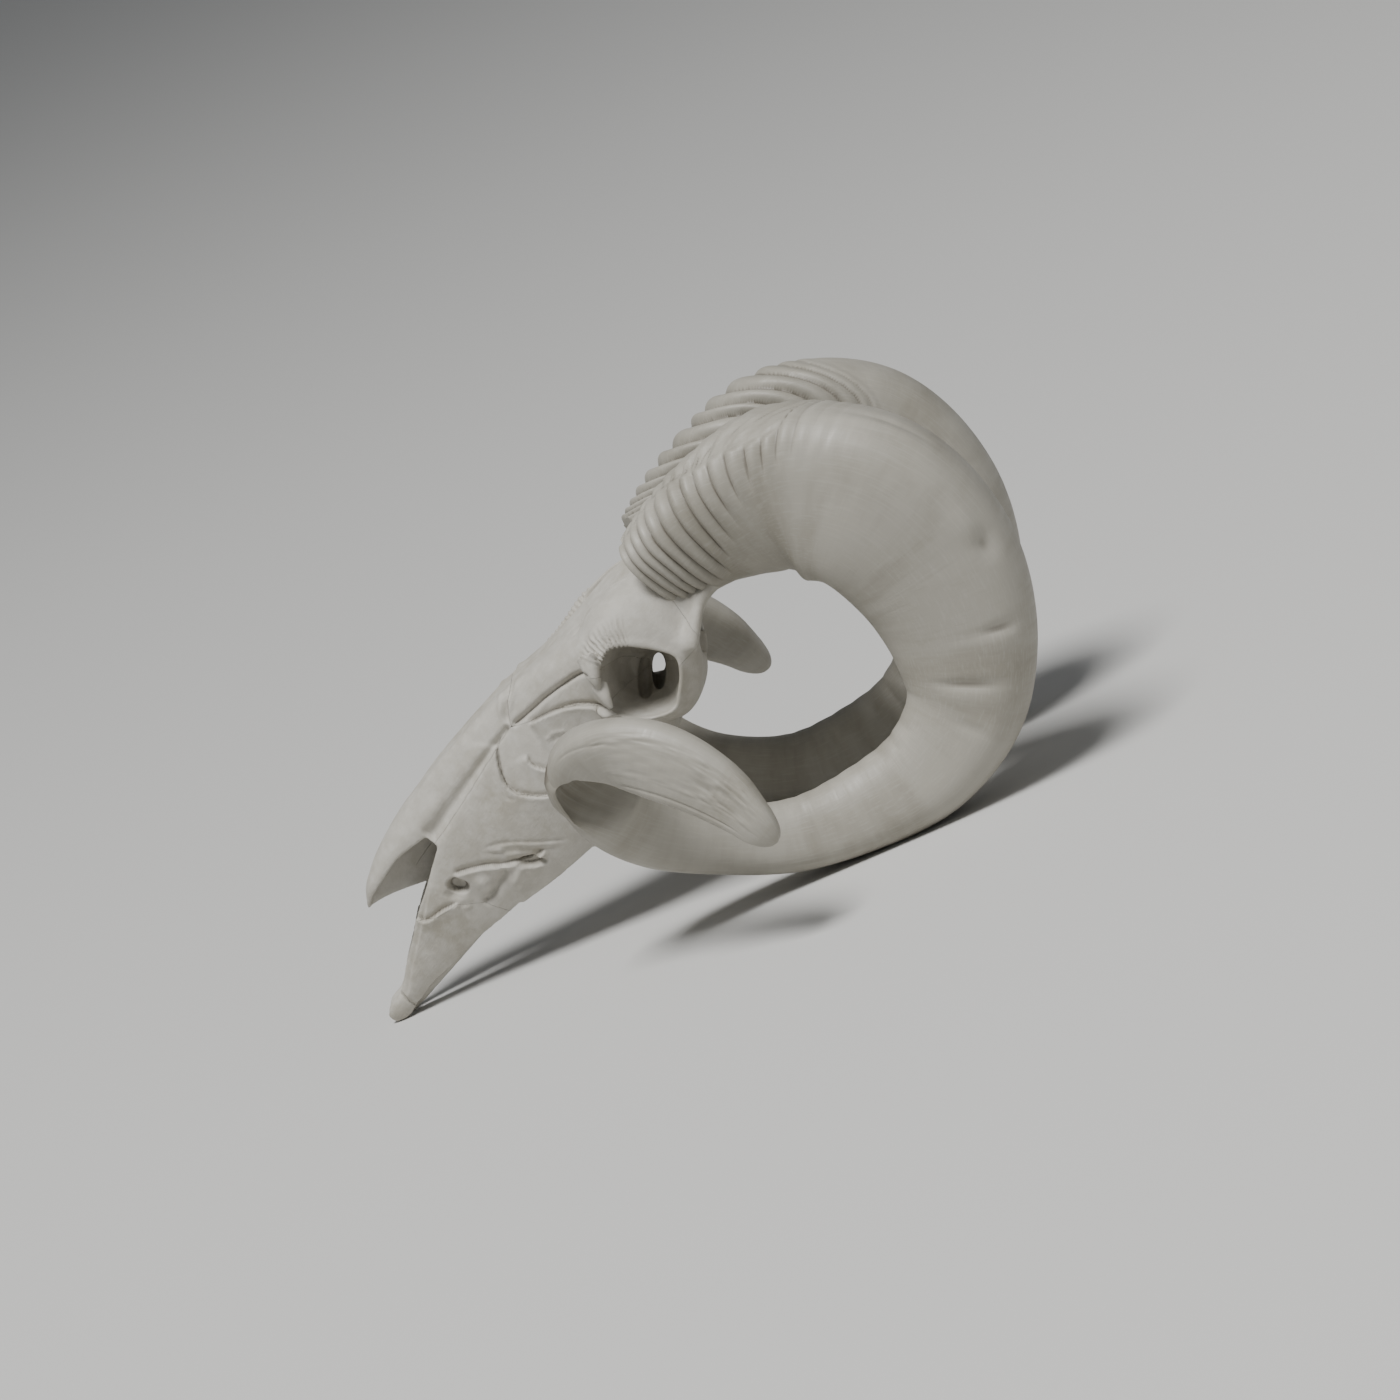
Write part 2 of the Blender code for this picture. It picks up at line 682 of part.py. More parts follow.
def horn_shape():
    """Horn of the right side, ribbed across near its base."""
    rows = np.array(HORN_STATIONS, float)
    total = spline_length(rows)
    turns = np.array([2 * math.pi * k / HORN_SIDES for k in range(HORN_SIDES)])
    folded = np.degrees(np.where(turns > math.pi, turns - 2 * math.pi, turns))
    slant = np.interp(folded, *np.transpose(RIB_SLANT))
    ribbed = np.clip(0.45 + 0.55 * np.cos(turns), 0, 1)
    front = np.sign(np.cos(turns)) * np.abs(np.cos(turns)) ** 0.8
    side = np.sign(np.sin(turns)) * np.abs(np.sin(turns)) ** 0.8
    rings = []
    for place, height in horn_places(total):
        shift = min(1.0, place / SLANT_START, max(0.0, (SLANT_END[0] - place) / SLANT_END[1]))
        along = place + slant * shift
        stations = spline(rows, along)
        ahead = spline(rows, along + 1.0)[:, :3] - spline(rows, along - 1.0)[:, :3]
        ahead /= np.linalg.norm(ahead, axis=1)[:, None]
        outward = np.cross(ahead, (0.0, 1.0, 0.0))
        outward /= np.linalg.norm(outward, axis=1)[:, None]
        across = np.cross(outward, ahead)
        crest = RIB_HEIGHT * height * ribbed * np.interp(place, *np.transpose(RIB_FADE))
        end = min(max((place - total) / TIP_LENGTH + 1, 0.0), 0.995)
        keep = math.sqrt(1 - end**2)
        taper = HORN_TAPER + (BLADE_TAPER - HORN_TAPER) * smooth_step(place, *BLADE_TURNS)
        bay_out, bay_side = bay_moves(place, turns)
        half_depth = 0.5 * stations[:, 3]
        half_width = 0.5 * stations[:, 4]
        reach_out = keep * (front + bay_out) * half_depth + crest * np.cos(turns)
        reach_side = keep * (side * (1 + taper * front) + bay_side) * half_width + crest * np.sin(turns)
        rings.append(stations[:, :3] + outward * reach_out[:, None] + across * reach_side[:, None])
    return loft("horn", rings)


def suture_wall(line, wide=120.0):
    """Thin upright slab along a line of the side view."""
    shape = bmesh.new()
    rows = [[shape.verts.new((x, y, z)) for x, z in line] for y in (-wide, wide)]
    for k in range(len(line) - 1):
        shape.faces.new((rows[0][k], rows[0][k + 1], rows[1][k + 1], rows[1][k]))
    mesh = bpy.data.meshes.new("suture")
    shape.to_mesh(mesh)
    shape.free()
    made = bpy.data.objects.new("suture", mesh)
    bpy.context.scene.collection.objects.link(made)
    thicken = made.modifiers.new("thicken", "SOLIDIFY")
    thicken.thickness = GAP
    thicken.offset = 0.0
    thicken.use_even_offset = True
    graph = bpy.context.evaluated_depsgraph_get()
    solid = bpy.data.meshes.new_from_object(made.evaluated_get(graph))
    made.modifiers.clear()
    made.data = solid
    return made


def midline_wall():
    bpy.ops.mesh.primitive_cube_add(size=1.0)
    made = bpy.context.object
    made.scale = (MIDLINE_END + 40, GAP, 240)
    made.location = (0.5 * (MIDLINE_END - 40), 0, 0)
    bpy.ops.object.transform_apply(location=True, rotation=True, scale=True)
    return made


def whole_skull():
    """All the bone as one closed body, before it is parted."""
    pieces = [nasal_roof(), palate_bar()]
    one_side = [side_plate()] + cheek_teeth() + bone_by_the_horn()
    pieces += one_side + [mirrored(piece) for piece in one_side] + [nuchal_crest()]
    skull = fuse(skull_body(), pieces)
    hollows = [ellipsoid("hollow", *sizes) for sizes in (NASAL_CAVITY, NECK_HOLE)]
    hollows.append(ellipsoid("orbit_hole", *ORBIT_HOLE, lean=ORBIT_LEAN))
    recess = ellipsoid("orbit_recess", *ORBIT_RECESS, lean=ORBIT_LEAN)
    for hollow in (orbit_socket(), recess, ellipsoid("fossa", *TEMPLE_FOSSA)):
        hollows += [hollow, mirrored(hollow)]
    return carve(skull, hollows)


def part_bones(skull, collection, material):
    """Parts the skull along its sutures and names each bone."""
    walls = [midline_wall()]
    for line in (NASAL_TOP_SUTURE, NASAL_LOW_SUTURE, FRONTAL_LOW_SUTURE, LACRIMAL_LOW_SUTURE,
                 CHEEK_SUTURE, SOCKET_SUTURE, PREMAXILLA_SUTURE, TIP_SUTURE, CORONAL_SUTURE,
                 PALATE_SUTURE):
        walls.append(suture_wall(line))
    bodies = loose_bodies(carve(skull, walls))
    wanted = {"braincase": BRAINCASE}
    for name, (x, y, z) in BONES.items():
        wanted[name + "_left"] = (x, -y, z)
        wanted[name + "_right"] = (x, y, z)
    for name, point in wanted.items():
        for body in bodies:
            if inside(body, point):
                add_node(mesh_object(name, body[0], body[1]), collection, material)
                break
    bpy.data.objects.remove(skull, do_unlink=True)
    for name, side in (("nasal_left", -1), ("nasal_right", 1)):
        fuse(collection.objects[name], [nose_septum(side)])


def add_node(made, collection, material):
    for holder in list(made.users_collection):
        holder.objects.unlink(made)
    collection.objects.link(made)
    made.data.materials.clear()
    made.data.materials.append(material)


def add_horns(collection, material):
    """Both horns, cut clear of the bone that they grow over."""
    horn = horn_shape()
    covers = [skull_body(GAP), nuchal_crest(GAP)] + bone_by_the_horn(GAP)
    horn = carve(horn, covers)
    right = mesh_object("horn_right", *loose_bodies(horn)[0])
    bpy.data.objects.remove(horn, do_unlink=True)
    left = mirrored(right)
    left.name = "horn_left"
    for made in (right, left):
        add_node(made, collection, material)


def lay_down(collection):
    """Turns the skull onto its resting places and scales it to metres."""
    cos, sin = math.cos(REST_PITCH), math.sin(REST_PITCH)
    for made in collection.objects:
        for vert in made.data.vertices:
            x, y, z = vert.co
            vert.co = (
                MM * (x * cos - z * sin + REST_X),
                MM * y,
                MM * (x * sin + z * cos + REST_Z),
            )


def main():
    clear_scene()
    collection = new_collection("ram_skull")
    bone = new_material("bone", BONE_COLOUR, 0.7)
    sheath = new_material("horn_sheath", HORN_COLOUR, 0.6)
    part_bones(whole_skull(), collection, bone)
    add_horns(collection, sheath)
    lay_down(collection)


main()
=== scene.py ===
"""Looks of a ram's skull and its two horns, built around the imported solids.

While a piece is shaped its lengths are millimetres in the skull's own frame.
X runs back from the tips of the premaxillae to the occiput. Y runs across,
with the left side at -Y. Z runs up from the line of the palate. RestPose turns
the finished pieces nose down onto the floor and into the model's metres.
"""

import itertools
import logging
import math
from collections.abc import Sequence
from dataclasses import dataclass
from enum import Enum

import bmesh
import bpy
import numpy as np
from mathutils import Matrix, Vector
from mathutils.bvhtree import BVHTree
from mathutils.kdtree import KDTree


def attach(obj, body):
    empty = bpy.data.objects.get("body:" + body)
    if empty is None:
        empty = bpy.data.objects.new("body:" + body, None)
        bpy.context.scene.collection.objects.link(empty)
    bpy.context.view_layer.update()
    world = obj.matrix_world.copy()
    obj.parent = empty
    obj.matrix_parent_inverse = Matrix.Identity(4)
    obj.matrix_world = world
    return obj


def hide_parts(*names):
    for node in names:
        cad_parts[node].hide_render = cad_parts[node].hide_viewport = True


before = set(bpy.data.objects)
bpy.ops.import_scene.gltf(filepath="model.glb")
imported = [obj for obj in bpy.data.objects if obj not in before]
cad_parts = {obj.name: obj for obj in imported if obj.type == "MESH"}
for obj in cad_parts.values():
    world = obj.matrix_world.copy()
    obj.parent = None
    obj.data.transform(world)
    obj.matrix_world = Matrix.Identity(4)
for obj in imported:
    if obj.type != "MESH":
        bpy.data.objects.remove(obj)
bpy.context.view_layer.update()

LOG = logging.getLogger("ram_skull")
BODY = "root"
MM = 0.001
# A direction along which no bar of the skull runs.
CROSSWISE = (0.31, 0.17, 0.93)
# Upward, but askew, so that a ray seldom meets an edge.
CASTING = (0.013, 0.021, 1.0)
TUBE_SIDES = 24
# A loose surface with fewer points is a crumb of a cut and is left out.
CRUMB_POINTS = 100
# Lowest height of a point in metres, just over the floor.
FLOOR_CLEARANCE = 0.00002
SHARP_DEGREES = 65
# Marks fade where the normal's part towards their view falls below this.
TURNED_AWAY = 0.3
# How far from the midline most marks start and end.
SIDE_REACH = (14, 60)

Rows = Sequence[Sequence[float]]
Span = tuple[float, float]
Radii = tuple[float, ...]
Line = tuple[Span, ...]
Point = tuple[float, float, float]
# The middle and the three radii of an ellipsoid.
Ball = tuple[Point, Point]


class Slot(Enum):
    """The record's material slots."""

    BONE = "bone"
    HORN = "horn"


class Form(Enum):
    """How a mark changes the bone along its line."""

    GROOVE = "groove"
    RIDGE = "ridge"
    LEDGE = "ledge"


class Face(Enum):
    """The view in which a mark's line is drawn."""

    SIDE = "side"
    TOP = "top"


@dataclass(frozen=True)
class RestPose:
    """How the skull lies, nose down on its snout and both horns.

    The pitch is in degrees and the shifts in millimetres, as in the solids.
    """

    pitch: float = 30.84
    shift_x: float = -192.29
    shift_z: float = 4.35

    def place(self, points: np.ndarray) -> np.ndarray:
        """Turns points of the skull's own frame into the model's metres.

        Args:
            points: Rows of X, Y and Z in millimetres.

        Returns:
            The same points in metres, nose down on the floor.
        """
        cos, sin = math.cos(math.radians(self.pitch)), math.sin(math.radians(self.pitch))
        x, y, z = np.asarray(points, float).T
        placed = (x * cos - z * sin + self.shift_x, y, x * sin + z * cos + self.shift_z)
        return MM * np.stack(placed, axis=1)


REST = RestPose()


def linear_colour(code: str) -> tuple[float, float, float, float]:
    """Turns an sRGB hex colour into linear red, green, blue and alpha."""
    channels = [int(code[k : k + 2], 16) / 255 for k in (1, 3, 5)]
    linear = [c / 12.92 if c <= 0.04045 else ((c + 0.055) / 1.055) ** 2.4 for c in channels]
    return (*linear, 1.0)


def lengths_along(rows: Rows) -> np.ndarray:
    """Length of the line through rows, from the first up to each of them."""
    steps = np.linalg.norm(np.diff(np.asarray(rows, float), axis=0), axis=1)
    return np.concatenate(([0.0], np.cumsum(steps)))


def unit(rows: np.ndarray) -> np.ndarray:
    """Brings each row to length 1."""
    return rows / np.linalg.norm(rows, axis=1)[:, None]


def cubic(
    part: np.ndarray, start: np.ndarray, end: np.ndarray, rise: np.ndarray, fall: np.ndarray
) -> np.ndarray:
    """Reads cubic curves that leave start with rise and come to end with fall.

    Args:
        part: How far along each curve, from 0 to 1.
        start: Where each curve starts.
        end: Where it ends.
        rise: Its slope at the start, over its whole span.
        fall: Its slope at the end, over its whole span.

    Returns:
        One row for each curve.
    """
    return (
        (2 * part**3 - 3 * part**2 + 1) * start
        + (part**3 - 2 * part**2 + part) * rise
        + (3 * part**2 - 2 * part**3) * end
        + (part**3 - part**2) * fall
    )


def spline(rows: Rows, places: np.ndarray) -> np.ndarray:
    """Reads a smooth curve through rows at places along their chord length.

    Args:
        rows: The curve's points, with any sizes after the first three columns.
        places: Lengths from the first row, also before it or past the last.

    Returns:
        One row for each place, straight on beyond both ends.
    """
    rows = np.asarray(rows, float)
    knots = lengths_along(rows[:, :3])
    slopes = np.gradient(rows, knots, axis=0)
    places = np.asarray(places, float)
    index = np.clip(np.searchsorted(knots, places) - 1, 0, len(knots) - 2)
    span = knots[index + 1] - knots[index]
    part = np.clip((places - knots[index]) / span, 0.0, 1.0)[..., None]
    beyond = np.minimum(places, 0.0) + np.maximum(places - knots[-1], 0.0)
    rise, fall = slopes[index] * span[..., None], slopes[index + 1] * span[..., None]
    curve = cubic(part, rows[index], rows[index + 1], rise, fall)
    return curve + beyond[..., None] * np.where((places < 0)[..., None], slopes[0], slopes[-1])


def even_rows(rows: Rows, count: int) -> np.ndarray:
    """Reads a table smoothly at even steps of its first column."""
    rows = np.asarray(rows, float)
    places = np.linspace(rows[0, 0], rows[-1, 0], count)
    slopes = np.gradient(rows, rows[:, 0], axis=0)
    index = np.clip(np.searchsorted(rows[:, 0], places) - 1, 0, len(rows) - 2)
    span = (rows[index + 1, 0] - rows[index, 0])[:, None]
    part = (places - rows[index, 0])[:, None] / span
    rise, fall = slopes[index] * span, slopes[index + 1] * span
    return cubic(part, rows[index], rows[index + 1], rise, fall)


def rounded(corners: Rows, steps: int, closed: bool = False) -> np.ndarray:
    """Rounds an outline that passes through its corners.

    Args:
        corners: The corners, in two or three dimensions.
        steps: Points for each stretch between two corners.
        closed: Whether the last corner joins the first.

    Returns:
        The points of the rounded outline.
    """
    corners = np.asarray(corners, float)
    if closed:
        padded = np.vstack((corners[-1:], corners, corners[:2]))
    else:
        first, last = 2 * corners[:1] - corners[1:2], 2 * corners[-1:] - corners[-2:-1]
        padded = np.vstack((first, corners, last))
    t = (np.arange(steps) / steps)[:, None]
    made = []
    for before, start, end, after in zip(padded, padded[1:], padded[2:], padded[3:]):
        made.append(
            0.5
            * (
                2 * start
                + (end - before) * t
                + (2 * before - 5 * start + 4 * end - after) * t**2
                + (3 * start - before - 3 * end + after) * t**3
            )
        )
    if not closed:
        made.append(corners[-1:])
    return np.vstack(made)


def smooth_step(values: np.ndarray, low: float, high: float) -> np.ndarray:
    """Rises smoothly from 0 at low to 1 at high, or falls if low is higher."""
    part = np.clip((values - low) / (high - low), 0.0, 1.0)
    return part * part * (3 - 2 * part)


def between(ends: Span, part: float | np.ndarray) -> float | np.ndarray:
    """Reads the value at a part of the way from the first end to the second."""
    return ends[0] + (ends[1] - ends[0]) * part


def read_line(line: Line, places: np.ndarray) -> np.ndarray:
    """Reads the straight lines between points of place and value."""
    return np.interp(places, *np.array(line, float).T)


def boxy(waves: np.ndarray, power: float) -> np.ndarray:
    """Raises waves to a power and keeps their sign, which squares a section off."""
    return np.sign(waves) * np.abs(waves) ** power


def bell(*parts: np.ndarray) -> np.ndarray:
    """Falls from 1 in the middle, where all parts are 0, to near 0 beyond 2."""
    return np.exp(-sum(part**2 for part in parts))


def window(
    values: np.ndarray, start: float, full: float, ebb: float, end: float
) -> np.ndarray:
    """Rises smoothly from 0 at start to 1 at full, and falls from ebb to 0 at end."""
    return smooth_step(values, start, full) * smooth_step(values, end, ebb)


def soft_noise(points: np.ndarray, size: float | Sequence[float], seed: int) -> np.ndarray:
    """Smooth random values from about -1 to 1.

    Args:
        points: Rows of three coordinates.
        size: Distance between the random values, for all axes or for each.
        seed: Picks the pattern, which is the same on every run.

    Returns:
        One value for each point.
    """
    draw = np.random.default_rng(seed)
    order, values = draw.permutation(256), draw.uniform(-1, 1, 256)
    grid = np.asarray(points, float) / size
    base = np.floor(grid).astype(np.int64)
    part = grid - base
    part = part * part * (3 - 2 * part)
    total = np.zeros(len(grid))
    for corner in itertools.product((0, 1), repeat=3):
        cell = (base + corner) & 255
        key = order[(order[(order[cell[:, 0]] + cell[:, 1]) & 255] + cell[:, 2]) & 255]
        total += np.prod(np.where(corner, part, 1 - part), axis=1) * values[key]
    return total


def add_object(name: str, data: bpy.types.ID) -> bpy.types.Object:
    """Adds an object with its data to the scene."""
    made = bpy.data.objects.new(name, data)
    bpy.context.scene.collection.objects.link(made)
    return made


def mesh_object(
    name: str, points: np.ndarray, faces: Sequence[Sequence[int]]
) -> bpy.types.Object:
    """Makes an object from points and faces, with its faces pointing out."""
    mesh = bpy.data.meshes.new(name)
    mesh.from_pydata(np.asarray(points, float).tolist(), [], faces)
    shape = bmesh.new()
    shape.from_mesh(mesh)
    bmesh.ops.recalc_face_normals(shape, faces=shape.faces)
    shape.to_mesh(mesh)
    shape.free()
    return add_object(name, mesh)


def loft(name: str, rings: np.ndarray) -> bpy.types.Object:
    """Makes a closed body through rings of equal count, fanned shut at both ends."""
    rings = np.asarray(rings, float)
    count, sides = rings.shape[:2]
    index = np.arange(count * sides).reshape(count, sides)
    turned = np.roll(index, -1, axis=1)
    faces = np.stack((index[:-1], turned[:-1], turned[1:], index[1:]), axis=-1)
    faces = faces.reshape(-1, 4).tolist()
    points = np.vstack((rings.reshape(-1, 3), rings[0].mean(axis=0), rings[-1].mean(axis=0)))
    for row, middle in ((0, count * sides), (count - 1, count * sides + 1)):
        faces += [[int(a), int(b), middle] for a, b in zip(index[row], turned[row])]
    return mesh_object(name, points, faces)


def ellipsoid(name: str, middle: Point, radii: Point, lean: float = 0.0) -> bpy.types.Object:
    """Makes a ball stretched to three radii and leant back in the side view.

    Args:
        name: Its name.
        middle: Its middle.
        radii: Its three radii before it leans.
        lean: How far it leans, in degrees.

    Returns:
        The ball.
    """
    turn = Matrix.Rotation(math.radians(lean), 3, "Y")
    shape = bmesh.new()
    bmesh.ops.create_uvsphere(shape, u_segments=40, v_segments=24, radius=1.0)
    for vert in shape.verts:
        vert.co = Vector(middle) + turn @ Vector([radii[k] * vert.co[k] for k in range(3)])
    mesh = bpy.data.meshes.new(name)
    shape.to_mesh(mesh)
    shape.free()
    return add_object(name, mesh)


def tube(
    name: str, route: Rows, radii: Sequence[float], steps: int = 6
) -> bpy.types.Object:
    """Makes a round bar along a smooth route.

    Args:
        name: The object's name.
        route: The points that the bar passes through.
        radii: Its radius at each of these points.
        steps: Rings for each stretch between two points.

    Returns:
        The closed bar.
    """
    rows = rounded(np.column_stack((np.asarray(route, float), radii)), steps)
    ahead = unit(np.gradient(rows[:, :3], axis=0))
    side = unit(np.cross(ahead, CROSSWISE))
    over = np.cross(ahead, side)
    turns = np.linspace(0, 2 * math.pi, TUBE_SIDES, endpoint=False)[None, :, None]
    around = np.cos(turns) * side[:, None] + np.sin(turns) * over[:, None]
    return loft(name, rows[:, None, :3] + rows[:, 3][:, None, None] * around)


def mirrored(source: bpy.types.Object) -> bpy.types.Object:
    """Copies an object to the other side of the midline."""
    mesh = source.data.copy()
    mesh.transform(Matrix.Diagonal((1, -1, 1, 1)))
    mesh.flip_normals()
    return add_object(source.name + "_mirror", mesh)


def evaluated_mesh(source: bpy.types.Object) -> None:
    """Replaces an object's mesh by what its modifiers make of it."""
    graph = bpy.context.evaluated_depsgraph_get()
    mesh = bpy.data.meshes.new_from_object(source.evaluated_get(graph))
    source.modifiers.clear()
    source.data = mesh


def combine(target: bpy.types.Object, operation: str, pieces: Sequence[bpy.types.Object]) -> None:
    """Joins closed pieces to target, or cuts them out of it, and removes them.

    The manifold solver is used, as the exact one leaves open edges where
    many of these rounded bodies cross.

    Args:
        target: The object that is changed.
        operation: UNION or DIFFERENCE.
        pieces: The closed objects to join or cut.
    """
    holder = bpy.data.collections.new("pieces")
    for piece in pieces:
        holder.objects.link(piece)
    change = target.modifiers.new("combine", "BOOLEAN")
    change.operation = operation
    change.solver = "MANIFOLD"
    change.operand_type = "COLLECTION"
    change.collection = holder
    evaluated_mesh(target)
    for piece in pieces:
        bpy.data.objects.remove(piece, do_unlink=True)
    bpy.data.collections.remove(holder)


def read_values(items: bpy.types.bpy_prop_collection, field: str, kind: type) -> np.ndarray:
    """Reads one number of each item of a mesh."""
    values = np.empty(len(items), kind)
    items.foreach_get(field, values)
    return values


def read_rows(items: bpy.types.bpy_prop_collection, field: str) -> np.ndarray:
    """Reads one vector of each item of a mesh, as rows."""
    rows = np.empty(len(items) * 3, np.float32)
    items.foreach_get(field, rows)
    return rows.reshape(-1, 3).astype(float)


def mesh_points(mesh: bpy.types.Mesh) -> np.ndarray:
    """Reads a mesh's points as rows."""
    return read_rows(mesh.vertices, "co")


def mesh_normals(mesh: bpy.types.Mesh) -> np.ndarray:
    """Reads a mesh's normals at its points as rows."""
    return read_rows(mesh.vertex_normals, "vector")


def move_points(mesh: bpy.types.Mesh, points: np.ndarray) -> None:
    """Writes a mesh's points."""
    mesh.vertices.foreach_set("co", np.asarray(points, np.float32).ravel())
    mesh.update()


def write_attribute(mesh: bpy.types.Mesh, name: str, values: np.ndarray) -> None:
    """Keeps a number or a vector for each point, for the finish to read."""
    kind, field = ("FLOAT_VECTOR", "vector") if values.ndim == 2 else ("FLOAT", "value")
    attribute = mesh.attributes.get(name) or mesh.attributes.new(name, kind, "POINT")
    attribute.data.foreach_set(field, np.asarray(values, np.float32).ravel())


def add_smoothing(source: bpy.types.Object, times: int) -> bpy.types.Modifier:
    """Adds a modifier that moves each point halfway to its neighbours' middle."""
    relax = source.modifiers.new("relax", "SMOOTH")
    relax.factor = 0.5
    relax.iterations = times
    return relax


def smoothed_points(source: bpy.types.Object, times: int) -> np.ndarray:
    """Points of an object after smoothing, which leaves the object as it is."""
    relax = add_smoothing(source, times)
    graph = bpy.context.evaluated_depsgraph_get()
    mesh = source.evaluated_get(graph).to_mesh()
    points = mesh_points(mesh)
    source.evaluated_get(graph).to_mesh_clear()
    source.modifiers.remove(relax)
    return points


def depth_under(source: bpy.types.Object, points: np.ndarray, times: int) -> np.ndarray:
    """How far each point of an object lies under its surface smoothed so many times."""
    moves = smoothed_points(source, times) - points
    return np.einsum("ij,ij->i", moves, mesh_normals(source.data))


def loose_bodies(mesh: bpy.types.Mesh) -> list[tuple[np.ndarray, list[list[int]]]]:
    """Splits a mesh into its closed surfaces.

    Args:
        mesh: The mesh to split.

    Returns:
        The points and faces of each surface, the one with most points first.
    """
    edges = np.empty(len(mesh.edges) * 2, np.int32)
    mesh.edges.foreach_get("vertices", edges)
    edges = edges.reshape(-1, 2)
    label = np.arange(len(mesh.vertices))
    while True:
        low = np.minimum(label[edges[:, 0]], label[edges[:, 1]])
        fresh = label.copy()
        np.minimum.at(fresh, edges[:, 0], low)
        np.minimum.at(fresh, edges[:, 1], low)
        fresh = fresh[fresh]
        if np.array_equal(fresh, label):
            break
        label = fresh
    points = mesh_points(mesh)
    names, counts = np.unique(label, return_counts=True)
    loops = read_values(mesh.loops, "vertex_index", np.int32)
    starts = read_values(mesh.polygons, "loop_start", np.int32)
    sizes = read_values(mesh.polygons, "loop_total", np.int32)
    of_face = label[loops[starts]]
    made = []
    for name in names[np.argsort(-counts)]:
        own = np.flatnonzero(label == name)
        if len(own) < CRUMB_POINTS:
            break
        fresh_index = np.full(len(label), -1)
        fresh_index[own] = np.arange(len(own))
        faces = [
            fresh_index[loops[starts[k] : starts[k] + sizes[k]]].tolist()
            for k in np.flatnonzero(of_face == name)
        ]
        made.append((points[own], faces))
    return made


def holds(tree: BVHTree, point: Point) -> bool:
    """Whether a point is inside the closed surface of a tree."""
    direction = Vector(CASTING).normalized()
    start, crossings = Vector(point), 0
    while True:
        hit = tree.ray_cast(start, direction)[0]
        if hit is None:
            return crossings % 2 == 1
        crossings += 1
        start = hit + direction * 0.001


def point_tree(points: np.ndarray) -> KDTree:
    """Sorts points so that the one nearest to a place is quickly found."""
    tree = KDTree(len(points))
    for k, point in enumerate(points):
        tree.insert(point, k)
    tree.balance()
    return tree


class Finish:
    """A material under construction, with short ways to add its nodes."""

    def __init__(self, name: str, ior: float) -> None:
        """Starts the material with its refractive index."""
        self.material = bpy.data.materials.new(name)
        self.material.use_nodes = True
        self.tree = self.material.node_tree
        self.shader = self.tree.nodes["Principled BSDF"]
        self.shader.inputs["IOR"].default_value = ior

    def add(
        self, kind: str, inputs: dict[str, object], output: str, **settings: object
    ) -> bpy.types.NodeSocket:
        """Adds one node.

        Args:
            kind: The end of the node's type, after ShaderNode.
            inputs: Fixed values of its inputs, or sockets that feed them.
            output: The output to go on with.
            settings: Its other properties.

        Returns:
            That output.
        """
        node = self.tree.nodes.new("ShaderNode" + kind)
        for name, value in settings.items():
            setattr(node, name, value)
        for name, value in inputs.items():
            if isinstance(value, bpy.types.NodeSocket):
                self.tree.links.new(value, node.inputs[name])
            else:
                node.inputs[name].default_value = value
        return node.outputs[output]

    def feed(self, name: str, socket: bpy.types.NodeSocket) -> None:
        """Feeds one input of the shader."""
        self.tree.links.new(socket, self.shader.inputs[name])

    def kept(self, name: str, output: str = "Fac") -> bpy.types.NodeSocket:
        """Reads what a piece keeps for each of its points."""
        return self.add("Attribute", {}, output, attribute_name=name)

    def scaled(self, vector: bpy.types.NodeSocket, scale: Point) -> bpy.types.NodeSocket:
        """Draws a pattern's coordinates out along the axes with a small scale."""
        return self.add("Mapping", {"Vector": vector, "Scale": scale}, "Vector")

    def noise(
        self, vector: bpy.types.NodeSocket, size: float, detail: float, roughness: float
    ) -> bpy.types.NodeSocket:
        """Adds cloudy noise of a size in millimetres."""
        inputs = {"Vector": vector, "Scale": 1 / size, "Detail": detail, "Roughness": roughness}
        return self.add("TexNoise", inputs, "Fac")

    def ramp(
        self, value: bpy.types.NodeSocket, start: float, end: float, low: float, high: float
    ) -> bpy.types.NodeSocket:
        """Turns start to end into low to high."""
        limits = {"From Min": start, "From Max": end, "To Min": low, "To Max": high}
        return self.add("MapRange", {"Value": value, **limits}, "Result")

    def mix(
        self, share: bpy.types.NodeSocket, first: bpy.types.NodeSocket | str, second: str
    ) -> bpy.types.NodeSocket:
        """Mixes a share of the second colour into the first."""
        if isinstance(first, str):
            first = linear_colour(first)
        inputs = {"Fac": share, "Color1": first, "Color2": linear_colour(second)}
        return self.add("MixRGB", inputs, "Color")

    def bump(
        self,
        height: bpy.types.NodeSocket,
        strength: float,
        depth: float,
        under: bpy.types.NodeSocket | None = None,
    ) -> bpy.types.NodeSocket:
        """Adds relief of a depth in millimetres, on top of the relief under it."""
        inputs = {"Height": height, "Strength": strength, "Distance": depth * MM}
        if under:
            inputs["Normal"] = under
        return self.add("Bump", inputs, "Normal")


